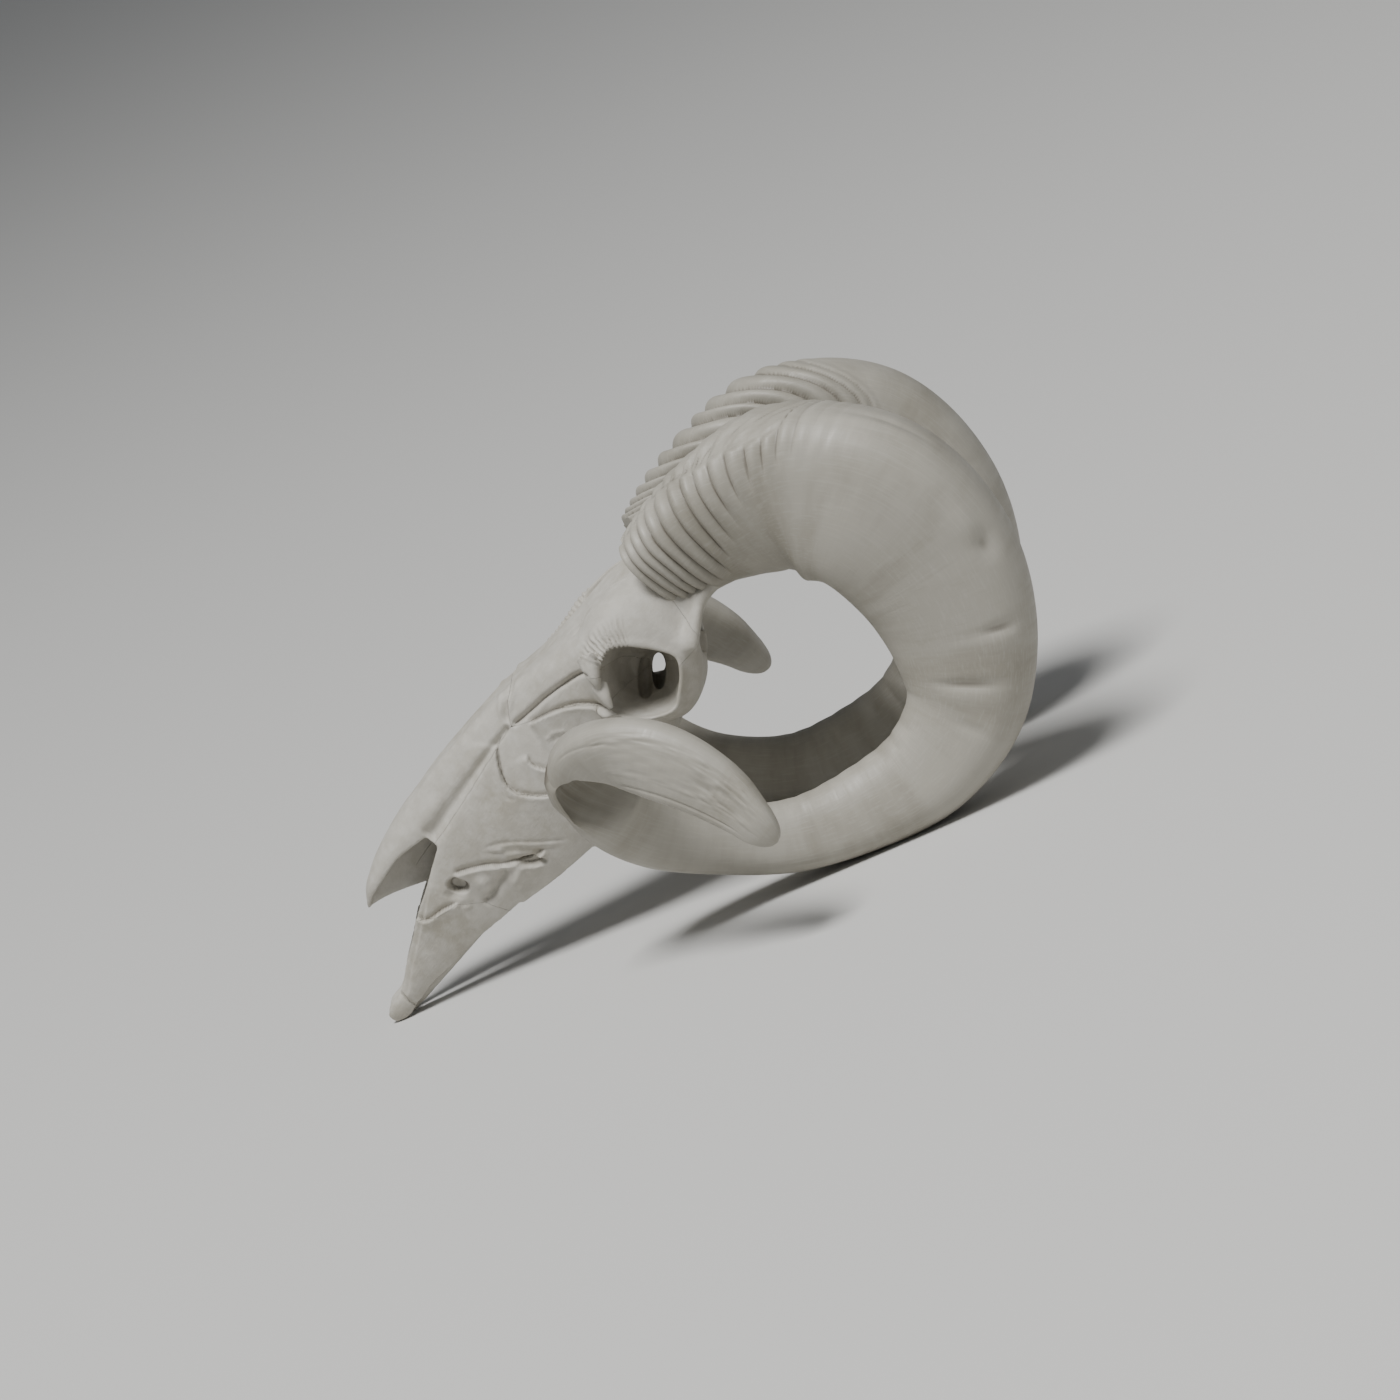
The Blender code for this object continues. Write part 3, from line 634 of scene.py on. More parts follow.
@dataclass(frozen=True)
class WeatheredBone:
    """Bone bleached by sun and rain, which leaves it pale, dry and matt.

    The outer layer is dense, so the light shows only fine pores, a faint
    grain along the snout and dust with painted shade in the hollows. Sizes
    are in millimetres, and a scale below 1 draws the grain out along that axis.
    """

    name: str = "weathered_bone"
    colour: str = "#b3afa5"
    stain: str = "#9c9687"
    bleached: str = "#c6c3bb"
    # Colour of the dust and painted shade in the hollows.
    dust_and_shade: str = "#5f584b"
    enamel: str = "#c4bca6"
    roughness: float = 0.62
    ior: float = 1.54
    stain_size: float = 42.0
    mottle_size: float = 6.0
    grain_size: float = 1.1
    grain_scale: Point = (0.12, 1.0, 1.0)
    pore_size: float = 0.9

    def make(self) -> bpy.types.Material:
        """Builds the material."""
        finish = Finish(self.name, self.ior)
        place = finish.kept("place", "Vector")
        stains = finish.noise(place, self.stain_size, 4.0, 0.6)
        mottle = finish.noise(place, self.mottle_size, 5.0, 0.65)
        grain = finish.noise(finish.scaled(place, self.grain_scale), self.grain_size, 3.0, 0.55)
        spacing = {"Vector": place, "Scale": 1 / self.pore_size, "Randomness": 1.0}
        pores = finish.add("TexVoronoi", spacing, "Distance")
        # Broad stains and small bleached patches keep the bone from looking cast.
        tone = finish.mix(finish.ramp(stains, 0.45, 0.7, 0.0, 0.75), self.colour, self.stain)
        tone = finish.mix(finish.ramp(mottle, 0.42, 0.72, 0.0, 0.6), tone, self.bleached)
        tone = finish.mix(finish.kept("tooth"), tone, self.enamel)
        # Painted shade, with dust, darkens the sutures and hollows, so that they read from afar.
        finish.feed("Base Color", finish.mix(finish.kept("dust_and_shade_mask"), tone, self.dust_and_shade))
        smoothest, roughest = self.roughness - 0.08, self.roughness + 0.12
        finish.feed("Roughness", finish.ramp(mottle, 0.3, 0.7, smoothest, roughest))
        # Pores, grain and mottling break the light up as dry bone does.
        relief = finish.bump(finish.ramp(pores, 0.08, 0.4, 0.0, 1.0), 0.18, 0.15)
        relief = finish.bump(grain, 0.5, 0.3, relief)
        finish.feed("Normal", finish.bump(mottle, 0.5, 0.5, relief))
        return finish.material


@dataclass(frozen=True)
class WeatheredHorn:
    """Keratin sheath dried by weather, grey and satin.

    It grew from the base in thin sleeves, so fine lines run across it, and
    its fibres run along it. A scale below 1 draws a pattern out along that
    axis, of which the first runs along the horn. Sizes are in millimetres.
    """

    name: str = "weathered_horn"
    colour: str = "#a5a196"
    shade: str = "#8b8679"
    pale: str = "#bab7ae"
    # Colour of the dust and painted shade in the rib valleys.
    dust_and_shade: str = "#575046"
    roughness: float = 0.52
    ior: float = 1.55
    band_size: float = 26.0
    band_scale: Point = (1.0, 0.35, 0.35)
    growth_size: float = 1.3
    growth_scale: Point = (1.0, 0.05, 0.05)
    fibre_size: float = 0.9
    fibre_scale: Point = (0.05, 1.0, 1.0)

    def make(self) -> bpy.types.Material:
        """Builds the material."""
        finish = Finish(self.name, self.ior)
        place = finish.kept("grain", "Vector")
        tones = finish.noise(finish.scaled(place, self.band_scale), self.band_size, 5.0, 0.6)
        growth = finish.noise(finish.scaled(place, self.growth_scale), self.growth_size, 3.0, 0.6)
        fibres = finish.noise(finish.scaled(place, self.fibre_scale), self.fibre_size, 3.0, 0.6)
        # Bands across and pale streaks along show how the sheath grew.
        tone = finish.mix(finish.ramp(tones, 0.42, 0.68, 0.0, 0.8), self.colour, self.shade)
        tone = finish.mix(finish.ramp(fibres, 0.5, 0.75, 0.0, 0.3), tone, self.pale)
        # Dust and painted shade darken the valleys between the ribs and set them off.
        finish.feed("Base Color", finish.mix(finish.kept("dust_and_shade_mask"), tone, self.dust_and_shade))
        smoothest, roughest = self.roughness - 0.07, self.roughness + 0.12
        finish.feed("Roughness", finish.ramp(growth, 0.3, 0.7, smoothest, roughest))
        relief = finish.bump(fibres, 0.22, 0.2)
        finish.feed("Normal", finish.bump(growth, 0.4, 0.25, relief))
        return finish.material


@dataclass(frozen=True)
class PaintedFloor:
    """Matt pale paint, which shows the shadows and gives no highlights."""

    name: str = "matt_painted_floor"
    colour: str = "#c9c8c5"
    roughness: float = 0.85
    ior: float = 1.5

    def make(self) -> bpy.types.Material:
        """Builds the material."""
        finish = Finish(self.name, self.ior)
        finish.shader.inputs["Base Color"].default_value = linear_colour(self.colour)
        finish.shader.inputs["Roughness"].default_value = self.roughness
        return finish.material


@dataclass(frozen=True)
class Mark:
    """A line worked into the bone on both sides of the skull, in millimetres.

    A groove or ridge runs along the line. A ledge stands proud on the line's
    left, as one walks along it with +Y or +Z up, and drops off at the line.
    The reach says how far from the midline, or how high, the mark starts and
    ends, with a blur beyond both.
    """

    line: Line
    form: Form
    depth: float
    half: float
    reach: Span = SIDE_REACH
    spread: float = 9.0
    fade: float = 5.0
    face: Face = Face.SIDE
    last_half: float | None = None
    undercut: float = 0.35
    blur: float = 2.0

    def rise(self, points: np.ndarray, normals: np.ndarray) -> np.ndarray:
        """How far each point of the skull moves along its normal.

        Args:
            points: The skull's points, in millimetres.
            normals: Its normals at these points.

        Returns:
            The rise at each point, below zero where the bone sinks.
        """
        made = np.zeros(len(points))
        off_midline = np.abs(points[:, 1])
        if self.face is Face.SIDE:
            flat, depth = points[:, (0, 2)], off_midline
            facing = normals[:, 1] * np.sign(points[:, 1])
        else:
            flat, depth = np.column_stack((points[:, 0], off_midline)), points[:, 2]
            facing = normals[:, 2]
        line = rounded(self.line, 8)
        margin = 3 * self.half + 2.5 * self.spread
        low, high = line.min(axis=0) - margin, line.max(axis=0) + margin
        shallow, deep = self.reach[0] - self.blur, self.reach[1] + self.blur
        near = np.all((flat > low) & (flat < high), axis=1)
        near &= (depth > shallow) & (depth < deep) & (facing > 0.0)
        near = np.flatnonzero(near)
        if not len(near):
            return made
        total, signed, along = self.trace(line, flat[near])
        before = 0.3 * self.fade
        weight = window(along, -before, self.fade, total - self.fade, total + before)
        weight *= smooth_step(facing[near], 0.0, TURNED_AWAY)
        weight *= window(depth[near], shallow, *self.reach, deep)
        made[near] = self.depth * self.profile(signed, along / total) * weight
        return made

    def profile(self, signed: np.ndarray, part: np.ndarray) -> np.ndarray:
        """Height across the line, at a signed distance and a part of the way along."""
        if self.form is Form.LEDGE:
            lip = smooth_step(signed, -self.half, self.half)
            lip *= np.exp(-np.maximum(signed, 0) / self.spread)
            below = (np.minimum(signed, 0) + self.half) / (2 * self.half)
            return lip - self.undercut * np.exp(-(below**2)) * (signed < 0)
        last = self.half if self.last_half is None else self.last_half
        height = bell(signed / between((self.half, last), np.clip(part, 0, 1)))
        return -height if self.form is Form.GROOVE else height

    @staticmethod
    def trace(line: np.ndarray, here: np.ndarray) -> tuple[float, np.ndarray, np.ndarray]:
        """Finds where points lie by a line.

        Args:
            line: The line's own points.
            here: The points to place, as rows of the same two coordinates.

        Returns:
            The line's length, how far each point lies from it, below zero on
            its right, and how far along it the point lies.
        """
        best = np.full(len(here), np.inf)
        signed, along = np.zeros(len(here)), np.zeros(len(here))
        so_far = lengths_along(line)
        for k, step in enumerate(np.diff(line, axis=0)):
            length = np.linalg.norm(step)
            ahead = step / length
            offset = here - line[k]
            raw = offset @ ahead
            part = np.clip(raw, 0, length)
            apart = np.linalg.norm(offset - part[:, None] * ahead, axis=1)
            closer = apart < best
            best[closer] = apart[closer]
            cross = ahead[0] * offset[:, 1] - ahead[1] * offset[:, 0]
            signed[closer] = np.where(cross[closer] < 0, -1, 1) * apart[closer]
            at_end = k in (0, len(line) - 2)
            along[closer] = so_far[k] + (raw if at_end else part)[closer]
        return so_far[-1], signed, along


@dataclass(frozen=True)
class Spot:
    """A hollow, or with a negative depth a swelling, on both sides of the skull.

    Lengths are in millimetres, and the lean is in degrees from the X axis.
    """

    middle: Span
    radii: Span
    lean: float
    depth: float
    reach: Span = SIDE_REACH
    edge: float = 0.0

    def rise(self, points: np.ndarray, normals: np.ndarray) -> np.ndarray:
        """How far each point of the skull moves along its normal.

        Args:
            points: The skull's points, in millimetres.
            normals: Its normals at these points.

        Returns:
            The rise at each point, below zero in a hollow.
        """
        depth, facing = np.abs(points[:, 1]), normals[:, 1] * np.sign(points[:, 1])
        cos, sin = math.cos(math.radians(self.lean)), math.sin(math.radians(self.lean))
        x, z = points[:, 0] - self.middle[0], points[:, 2] - self.middle[1]
        away = np.hypot((x * cos + z * sin) / self.radii[0], (z * cos - x * sin) / self.radii[1])
        shape = smooth_step(away, 1.0, self.edge) * smooth_step(facing, 0.0, TURNED_AWAY)
        inside = (depth > self.reach[0]) & (depth < self.reach[1])
        return -self.depth * shape * inside


@dataclass(frozen=True)
class Suture:
    """A joint between two bones, as a thin wall with a wandering line.

    The wall reaches far out on both sides of the skull, in steps along its
    line, all in millimetres.
    """

    line: Line
    face: Face = Face.SIDE
    far: float = 130.0
    step: float = 0.9

    def wall(self, gap: float, wander: float, seed: int) -> bpy.types.Object:
        """Builds the wall that parts the bones.

        Args:
            gap: Its thickness in millimetres.
            wander: How far its line strays, in millimetres.
            seed: Picks the way that it strays.

        Returns:
            A closed slab that reaches past the skull on both sides.
        """
        corners = np.asarray(self.line, float)
        lengths = lengths_along(corners)
        places = np.linspace(0, lengths[-1], max(3, int(lengths[-1] / self.step)))
        line = np.column_stack([np.interp(places, lengths, corners[:, k]) for k in range(2)])
        ahead = unit(np.gradient(line, axis=0))
        across = np.column_stack((-ahead[:, 1], ahead[:, 0]))
        at = np.column_stack((places, np.zeros_like(places), np.zeros_like(places)))
        stray = 0.65 * soft_noise(at, 4.0, seed) + 0.35 * soft_noise(at, 1.7, seed + 1)
        line = line + across * (wander * stray)[:, None]
        column = 1 if self.face is Face.SIDE else 2
        edges = []
        for shift, end in ((-0.5, -1), (0.5, -1), (0.5, 1), (-0.5, 1)):
            flat = line + across * gap * shift
            edges.append(np.insert(flat, column, self.far * end, axis=1))
        return loft("suture", np.stack(edges, axis=1))


# The sutures, ledges, crests and small holes that show on the bone's surface.
MARKS: tuple[Mark | Spot, ...] = (
    # The nasal bone's lower edge, over the maxilla.
    Mark(
        ((161, 40), (150, 40.2), (136, 40.2), (122, 40), (110, 39.7), (99, 39.4), (88, 39.4)),
        Form.GROOVE, 2.8, 1.4, (10, 40), fade=3, last_half=4.2,
    ),
    # The nasal bone's end against the frontal, with its rough lips.
    Mark(
        ((183, 52), (178, 51), (170, 48), (163.5, 43.8), (161, 40.2)),
        Form.GROOVE, 1.9, 1.4, (4, 40),
    ),
    Mark(
        ((186, 50), (181, 49), (174, 46.8), (167, 44.3), (164, 42)),
        Form.RIDGE, 1.0, 1.2, (4, 40),
    ),
    Mark(((181, 55), (176, 54), (167, 50), (160, 45)), Form.RIDGE, 0.9, 1.4, (4, 40)),
    # The lacrimal under the frontal.
    Mark(
        ((161.5, 39), (168, 37.6), (176, 36.2), (184, 34.8), (195, 32), (205, 28.8), (210, 26)),
        Form.GROOVE, 2.6, 1.3, fade=3,
    ),
    # The zygomatic's edge over the lacrimal.
    Mark(
        (
            (200.8, 3.8), (199.5, 6.5), (198, 10.5), (195, 16), (190.5, 21), (184, 25.3),
            (175, 29.6), (168, 32.6),
        ),
        Form.LEDGE, 3.6, 0.8, spread=10, fade=4,
    ),
    Mark(((173.5, 29.5), (175, 32), (179, 33), (186, 32)), Form.RIDGE, 0.5, 1.4),
    # The lacrimal and zygomatic against the maxilla.
    Mark(
        (
            (160, -9), (145, 4), (141, 8.2), (137.2, 13.8), (135.2, 20), (136, 25.5),
            (139.8, 30.6), (145, 36.2), (149, 39),
        ),
        Form.LEDGE, 2.1, 0.7, spread=8, fade=3,
    ),
    Mark(((150, 39.6), (156, 40), (162, 38.5)), Form.RIDGE, 0.6, 1.4),
    Mark(((136.5, 28), (132.8, 23), (131, 19.5), (132.5, 16.5)), Form.GROOVE, 0.6, 1.0, fade=3),
    # A step and two small creases on the zygomatic.
    Mark(
        ((159, 9), (155.5, 11.8), (153, 16.5), (152.4, 21), (154.5, 25)),
        Form.LEDGE, 1.9, 0.7, spread=4.5, fade=3,
    ),
    Mark(((167, 21.5), (173, 20.6), (178, 16.5)), Form.RIDGE, 0.5, 0.9, fade=2),
    Mark(((168, 18.5), (172, 17.8), (176, 14.5)), Form.GROOVE, 0.5, 0.9, fade=2),
    # Creases over the orbit and along the brow.
    Mark(
        ((236, 36.6), (228, 38), (220, 35.6), (213.6, 32.2), (211, 27.5)),
        Form.GROOVE, 0.7, 1.3, (30, 60),
    ),
    Mark(
        ((259, 27), (240, 24), (222, 20), (205, 16)),
        Form.GROOVE, 0.5, 1.2, (36, 60), face=Face.TOP,
    ),
    Mark(
        ((260, 18), (240, 19), (222, 20), (205, 20)),
        Form.GROOVE, 0.5, 1.0, (36, 60), face=Face.TOP,
    ),
    # The maxilla's front edge behind the premaxilla.
    Mark(
        ((70, 8), (67, 9.5), (61.8, 12), (55.4, 13.8), (51.8, 16), (50, 20)),
        Form.LEDGE, 2.0, 0.7, (6, 40), spread=7, fade=2,
    ),
    # The maxilla's crest, the furrow under it and lines beside it.
    Mark(
        (
            (119, -11), (116, -10.2), (110.5, -7.5), (105.3, -3), (100, 1.1), (94.5, 7.5),
            (88, 13.2), (81, 18.2),
        ),
        Form.LEDGE, 3.2, 0.9, spread=7, fade=3,
    ),
    Mark(((99.8, 0.6), (97, -1.6), (93, -2.4), (86, -3), (77, -3)), Form.GROOVE, 2.6, 2.4, fade=3),
    Mark(
        ((131, -17), (121.3, -6), (115, 2.3), (107.7, 10.1), (101.4, 14.2)),
        Form.GROOVE, 0.5, 0.9,
    ),
    Mark(((127, -15), (118, -4), (112, 4), (105, 8.5), (101, 11)), Form.RIDGE, 0.45, 1.2),
    Mark(((124, -16), (115, -5.5), (109, 2), (103, 7.5), (99, 13)), Form.GROOVE, 0.4, 0.9),
    # The hole in the maxilla and the dish in front of it.
    Spot((77.5, 13.2), (6.6, 4.8), -62, 5.5, (12, 40), edge=0.6),
    Spot((72, 12.4), (6.0, 4.0), -62, 1.8, (12, 40)),
    # The line that sets off the incisive tip.
    Mark(
        ((12.6, 6), (11.9, 2.5), (11.7, -6.3), (11.7, -10)),
        Form.GROOVE, 1.0, 0.8, (2.5, 14), fade=1,
    ),
    # A pit behind the crest, then swellings and rough patches.
    Spot((110.5, -9.2), (9, 3.2), -47, 5.0, edge=0.4),
    Spot((86.5, 4), (7, 6), -55, -2.0),
    Spot((99, -8.5), (9, 4.6), 18, -2.3),
    Spot((73.5, 6.5), (5, 3.6), -60, -0.7),
    Spot((71, 3), (3.5, 2.6), -40, -0.7),
    Spot((108, 0.5), (6, 4), -50, -0.7),
    Spot((105.5, 6.5), (4, 2.5), -50, -0.5),
    # The slit on the forehead.
    Mark(
        ((217, 27), (222, 27.2), (230, 27.8), (234.5, 28)),
        Form.GROOVE, 3.6, 1.1, (30, 60), face=Face.TOP,
    ),
    # The premaxilla's upper edge.
    Mark(
        ((70.2, 25.2), (49.7, 15.8), (30, 8), (12.8, -0.1)),
        Form.LEDGE, 0.8, 0.6, (4, 40), spread=5, fade=3,
    ),
)

# Where the bones meet, as in the solids.
SUTURES: tuple[Suture, ...] = (
    Suture(((-40, 0), (266, 0)), Face.TOP),
    Suture(((183, 70), (181, 52), (169, 47), (161.5, 40), (161.5, 38))),
    Suture(((162.5, 39.2), (150, 38.5), (122, 36.5), (94, 35), (70, 34.5))),
    Suture(((160.8, 38.4), (176, 35), (192, 32), (207, 27), (220, 13), (227, -3))),
    Suture(((160.6, 38.8), (170, 33), (182, 28), (192, 20), (200, 9), (213, 2), (227, -4))),
    Suture(
        (
            (153, 39.8), (151, 39), (146, 37), (141, 32), (135.5, 23), (135.5, 17), (140, 10),
            (145, 3), (158, -8), (180, -17), (212, -21), (232, -40),
        ),
    ),
    Suture(((226.5, -3), (238, -8), (252, -10), (275, -6))),
    Suture(((40, 27), (51.5, 17), (58, 12), (69, 8), (78, -3), (84, -30))),
    Suture(((14, 20), (13.5, 3), (11, -3), (11, -20))),
    Suture(((268, 70), (263, 40), (263, 14), (258, -2), (254, -20))),
    Suture(((213, -17), (216, -26), (216, -60))),
)


@dataclass
class Skull:
    """All the bone, shaped whole and then parted along its sutures.

    Lengths are in millimetres and leans in degrees. The tables hold the same
    sizes as the solids. A row of the sections holds its X, the height and half
    width of the roof, the roof's drop to its edge, the half width and height
    of the side, those of the floor, and the rise of the floor's middle. A row
    of the nasal sections holds its X, the height of the ridge, the half width,
    the height of the edge and the thickness. A row of the plate sections holds
    its X, its lowest and highest points, its middle and its thickness.
    """

    sections: Rows = (
        (88, 57, 12, 4.5, 20, 24, 16, -17, 4),
        (112, 57, 14, 4.5, 25, 15, 20, -24, 6),
        (135, 55.5, 16, 4.5, 30, 8, 24, -29, 8),
        (158, 53, 19, 4.5, 35, 4, 27, -31, 10),
        (180, 49.5, 24, 4.5, 39, 3, 28, -31, 11),
        (200, 45.5, 32, 5.5, 41, 6, 26, -30, 10),
        (214, 45, 38, 8, 39, 8, 20, -27, 6),
        (230, 43.5, 41, 10, 35, 10, 13, -21, 2),
        (246, 42, 40, 11, 33, 10, 12, -13, 0),
        (258, 40, 36, 10, 33, 10, 13, -3, 0),
        (270, 38.5, 30, 9, 33, 8, 15, -3, 0),
        (282, 36, 28, 9, 34, 4, 17, -8, 0),
        (294, 31, 26, 9, 34, 0, 17, -18, 0),
        (305, 24, 23, 8, 30, -5, 16, -28, 0),
        (314, 12, 16, 7, 20, -10, 12, -29, 0),
    )
    nasal_sections: Rows = (
        (37.5, 41.5, 1.2, 40.2, 1.0),
        (44, 47.5, 6.5, 43, 2.4),
        (56, 52.5, 11, 44.5, 3.2),
        (70, 55.5, 14, 45, 4),
        (84, 57.2, 16, 41.5, 5),
        (98, 57.6, 18.5, 37, 6),
        (112, 57.3, 18.5, 36, 6),
    )
    plate_sections: Rows = (
        (-2, -4, 1.6, 6, 4),
        (2, -6.4, 3.8, 6.2, 7),
        (13, -6.5, 4.2, 7, 7),
        (26, -6.5, 10, 8.6, 6.2),
        (40, -9, 15.5, 10.5, 5.8),
        (54, -10.5, 21.5, 12.5, 6),
        (68, -13.5, 26, 14.5, 7),
        (82, -16.5, 31, 16, 8),
        (97, -18.5, 36, 17, 8.5),
        (114, -17, 37, 16, 7),
    )
    orbit: Point = (221, 50, 2)
    orbit_opening: Line = (
        (224, 25), (231, 20), (236, 11.5), (240.5, 1), (241, -4.5), (237, -9.5), (228, -15),
        (220, -18), (211, -12.5), (203.5, -3), (202, 6), (205.5, 13.5), (213, 21.5),
    )
    wall_width: Line = (
        (-180, 5), (-135, 6), (-90, 10), (-65, 12), (-50, 12.9), (-25, 12), (-10, 15), (5, 21),
        (25, 27), (45, 27), (65, 20), (90, 13), (120, 9), (150, 6), (180, 5),
    )
    wall_profile: Line = (
        (51, 0.06), (50.3, 0.18), (48.6, 0.4), (46, 0.64), (42, 0.86), (37, 1.0), (30, 1.1),
        (23, 1.15),
    )
    socket_profile: Line = (
        (66, 1.2), (53, 1.03), (50.5, 1.0), (47, 1.0), (41, 1.02), (32, 0.93), (22, 0.72),
        (15, 0.58), (9, 0.3),
    )
    bar_route: Rows = (
        (273, 31, 7), (262, 34, 2), (255, 36, -1.5), (248, 37.5, -7.5), (240, 38.5, -15),
        (231, 38.5, -19.5),
    )
    bar_radii: Radii = (9, 8, 7, 6.5, 7, 6)
    brow_route: Rows = ((266, 24, 22), (258, 29, 14), (250, 33, 6), (243, 35, -3))
    brow_radii: Radii = (14, 12, 10, 8)
    septum: Line = (
        (38, 42.3), (46, 38), (57, 31.5), (68, 24.2), (76, 20.5), (90, 19), (98, 24), (98, 52),
        (84, 54), (70, 52.5), (56, 49.5), (46, 45.5),
    )
    septum_half: float = 1.2
    plate_lean: float = 0.06
    palate_route: Rows = ((6, 0, -5.5), (50, 0, -9.8), (100, 0, -14))
    palate_radii: Radii = (2.9, 2.9, 2.9)
    arch_route: Rows = ((248, 49, -9), (260, 47, -3), (272, 43, 2), (286, 37, 0), (296, 29, -6))
    arch_radii: Radii = (5, 4.5, 4.5, 6, 4)
    process_route: Rows = ((303, 21, -8), (306, 21, -15), (308, 20, -20))
    process_radii: Radii = (6.5, 4.5, 2.5)
    condyle: Ball = ((315, 11, -22), (7.5, 7, 10))
    ear_capsule: Ball = ((296, 16, -10), (8, 7, 5.5))
    crest: Ball = ((305, 0, 2), (4, 35, 31))
    nasal_cavity: Ball = ((92, 0, 20), (52, 13, 26))
    neck_hole: Ball = ((322, 0, -13), (13, 8, 9))
    fossa: Ball = ((264, 25, -10), (18, 10.5, 16))
    orbit_hole: Ball = ((224.1, 0, -7.0), (4.1, 24, 12.3))
    orbit_recess: Ball = ((218.9, 17, -1.6), (4.4, 14, 11.3))
    orbit_lean: float = 54.7
    upper_spur: Rows = ((216, 47, 31), (212, 51, 25), (209.5, 52.8, 21), (207.6, 53.2, 18))
    upper_spur_radii: Radii = (5.5, 4.0, 2.6, 0.8)
    lower_spur: Rows = ((208, 48, 18), (205.8, 51.5, 13), (203.8, 52.8, 9), (202.2, 53, 5.5))
    lower_spur_radii: Radii = (4.4, 3.2, 2.0, 0.7)
    crest_route: Rows = (
        (196, 30, 40.4), (204, 34, 39.2), (213, 36, 39.2), (226, 37, 38.8), (236, 39, 34),
        (242, 41, 30),
    )
    crest_knob: float = 2.9
    crest_radius: float = 1.9
    crest_height: float = 2.1
    tooth_row: Span = (134, 199)
    tooth_count: int = 6
    tooth_line: Span = (20.5, 24)
    tooth_width: Span = (7.5, 11)
    tooth_power: float = 0.55
    tooth_neck: float = -26
    tooth_crown: Span = (-36, -42)
    tooth_rings: int = 16
    cusp_height: float = 1.4
    body_rings: int = 110
    nasal_rings: int = 60
    plate_rings: int = 90
    orbit_rings: int = 40
    knob_height: float = 0.55
    knob_waves: float = 70.0
    softening: int = 400
    kept_lip: Span = (1.5, 6.5)
    unevenness: float = 0.22
    uneven_size: float = 13.0
    roughness: float = 0.06
    rough_size: float = 3.2
    # Sunk depths over which painted shade, with dust, darkens the hollows, and how dark it gets.
    crevice_depth: Span = (0.08, 0.6)
    crevice_dust_and_shade: float = 0.75
    voxel: float = 0.7
    gap: float = 0.14
    wander: float = 0.3
    suture_seed: int = 20

    def body(self) -> bpy.types.Object:
        """Builds the body of the skull, from the nose to the occiput."""
        rings = []
        for row in even_rows(self.sections, self.body_rings):
            place, roof, roof_half, drop, side_half, side, floor_half, floor, rise = row
            corners = (
                (0, roof),
                (roof_half, roof - drop),
                (side_half, side),
                (floor_half, floor),
                (0, floor + rise),
            )
            half = rounded(corners, 10)
            ring = np.vstack((half, half[-2:0:-1] * (-1, 1)))
            rings.append(np.insert(ring, 0, place, axis=1))
        return loft("skull", np.array(rings))

    def nasal_roof(self) -> bpy.types.Object:
        """Builds both nasal bones as one arched plate."""
        turns = np.linspace(0, math.pi, 33)
        arch = np.sin(turns) ** 0.8
        rings = []
        for place, ridge, half, edge, thick in even_rows(self.nasal_sections, self.nasal_rings):
            inner_half = max(half - thick * 0.7, half * 0.3)
            outer = np.column_stack((half * np.cos(turns), edge + (ridge - edge) * arch))
            inner_up = edge + (ridge - thick - edge) * arch
            inner = np.column_stack((inner_half * np.cos(turns), inner_up))
            ring = np.vstack((outer, inner[::-1]))
            rings.append(np.insert(ring, 0, place, axis=1))
        return loft("nasal_roof", np.array(rings))

    def side_plate(self) -> bpy.types.Object:
        """Builds the right premaxilla with the front of the maxilla."""
        turns = np.linspace(0, 2 * math.pi, 36, endpoint=False)
        rings = []
        for place, low, high, middle, thick in even_rows(self.plate_sections, self.plate_rings):
            up = 0.5 * (low + high) + 0.5 * (high - low) * np.sin(turns)
            lean = (up - 0.5 * (low + high)) * self.plate_lean
            across = middle + lean + 0.5 * thick * np.cos(turns)
            rings.append(np.insert(np.column_stack((across, up)), 0, place, axis=1))
        return loft("side_plate", np.array(rings))

    def palate_bar(self) -> bpy.types.Object:
        """Builds the bar of the palate between the two slits."""
        return tube("palate_bar", self.palate_route, self.palate_radii)

    def nose_septum(self) -> bpy.types.Object:
        """Builds the thin wall of bone that hangs from the nasal bones in the middle."""
        flat = rounded(self.septum, 6, closed=True)
        places = np.linspace(-self.septum_half, self.septum_half, 4)
        return loft("septum", np.array([np.insert(flat, 1, at, axis=1) for at in places]))

    def rim_outline(self, outward: np.ndarray | float, at: float) -> np.ndarray:
        """Outline of the orbit's opening, moved outward, at a distance from the midline."""
        flat = rounded(self.orbit_opening, 6, closed=True)
        away = unit(flat - (self.orbit[0], self.orbit[2]))
        return np.insert(flat + np.reshape(outward, (-1, 1)) * away, 1, at, axis=1)

    def orbit_wall(self) -> bpy.types.Object:
        """Builds the flared wall around the orbit, widest towards the horn."""
        rim = self.rim_outline(0.0, 0.0)
        turns = np.degrees(np.arctan2(rim[:, 2] - self.orbit[2], rim[:, 0] - self.orbit[0]))
        width = read_line(self.wall_width, turns)
        width = (np.roll(width, 1) + width + np.roll(width, -1)) / 3
        rings = [self.rim_outline(width * part, at) for at, part in self.wall_profile]
        return loft("orbit_wall", even_rings(np.array(rings), self.orbit_rings))

    def spurs(self) -> list[bpy.types.Object]:
        """Builds the two points of bone that hang over the front of the orbit."""
        return [
            tube("upper_spur", self.upper_spur, self.upper_spur_radii),
            tube("lower_spur", self.lower_spur, self.lower_spur_radii),
        ]

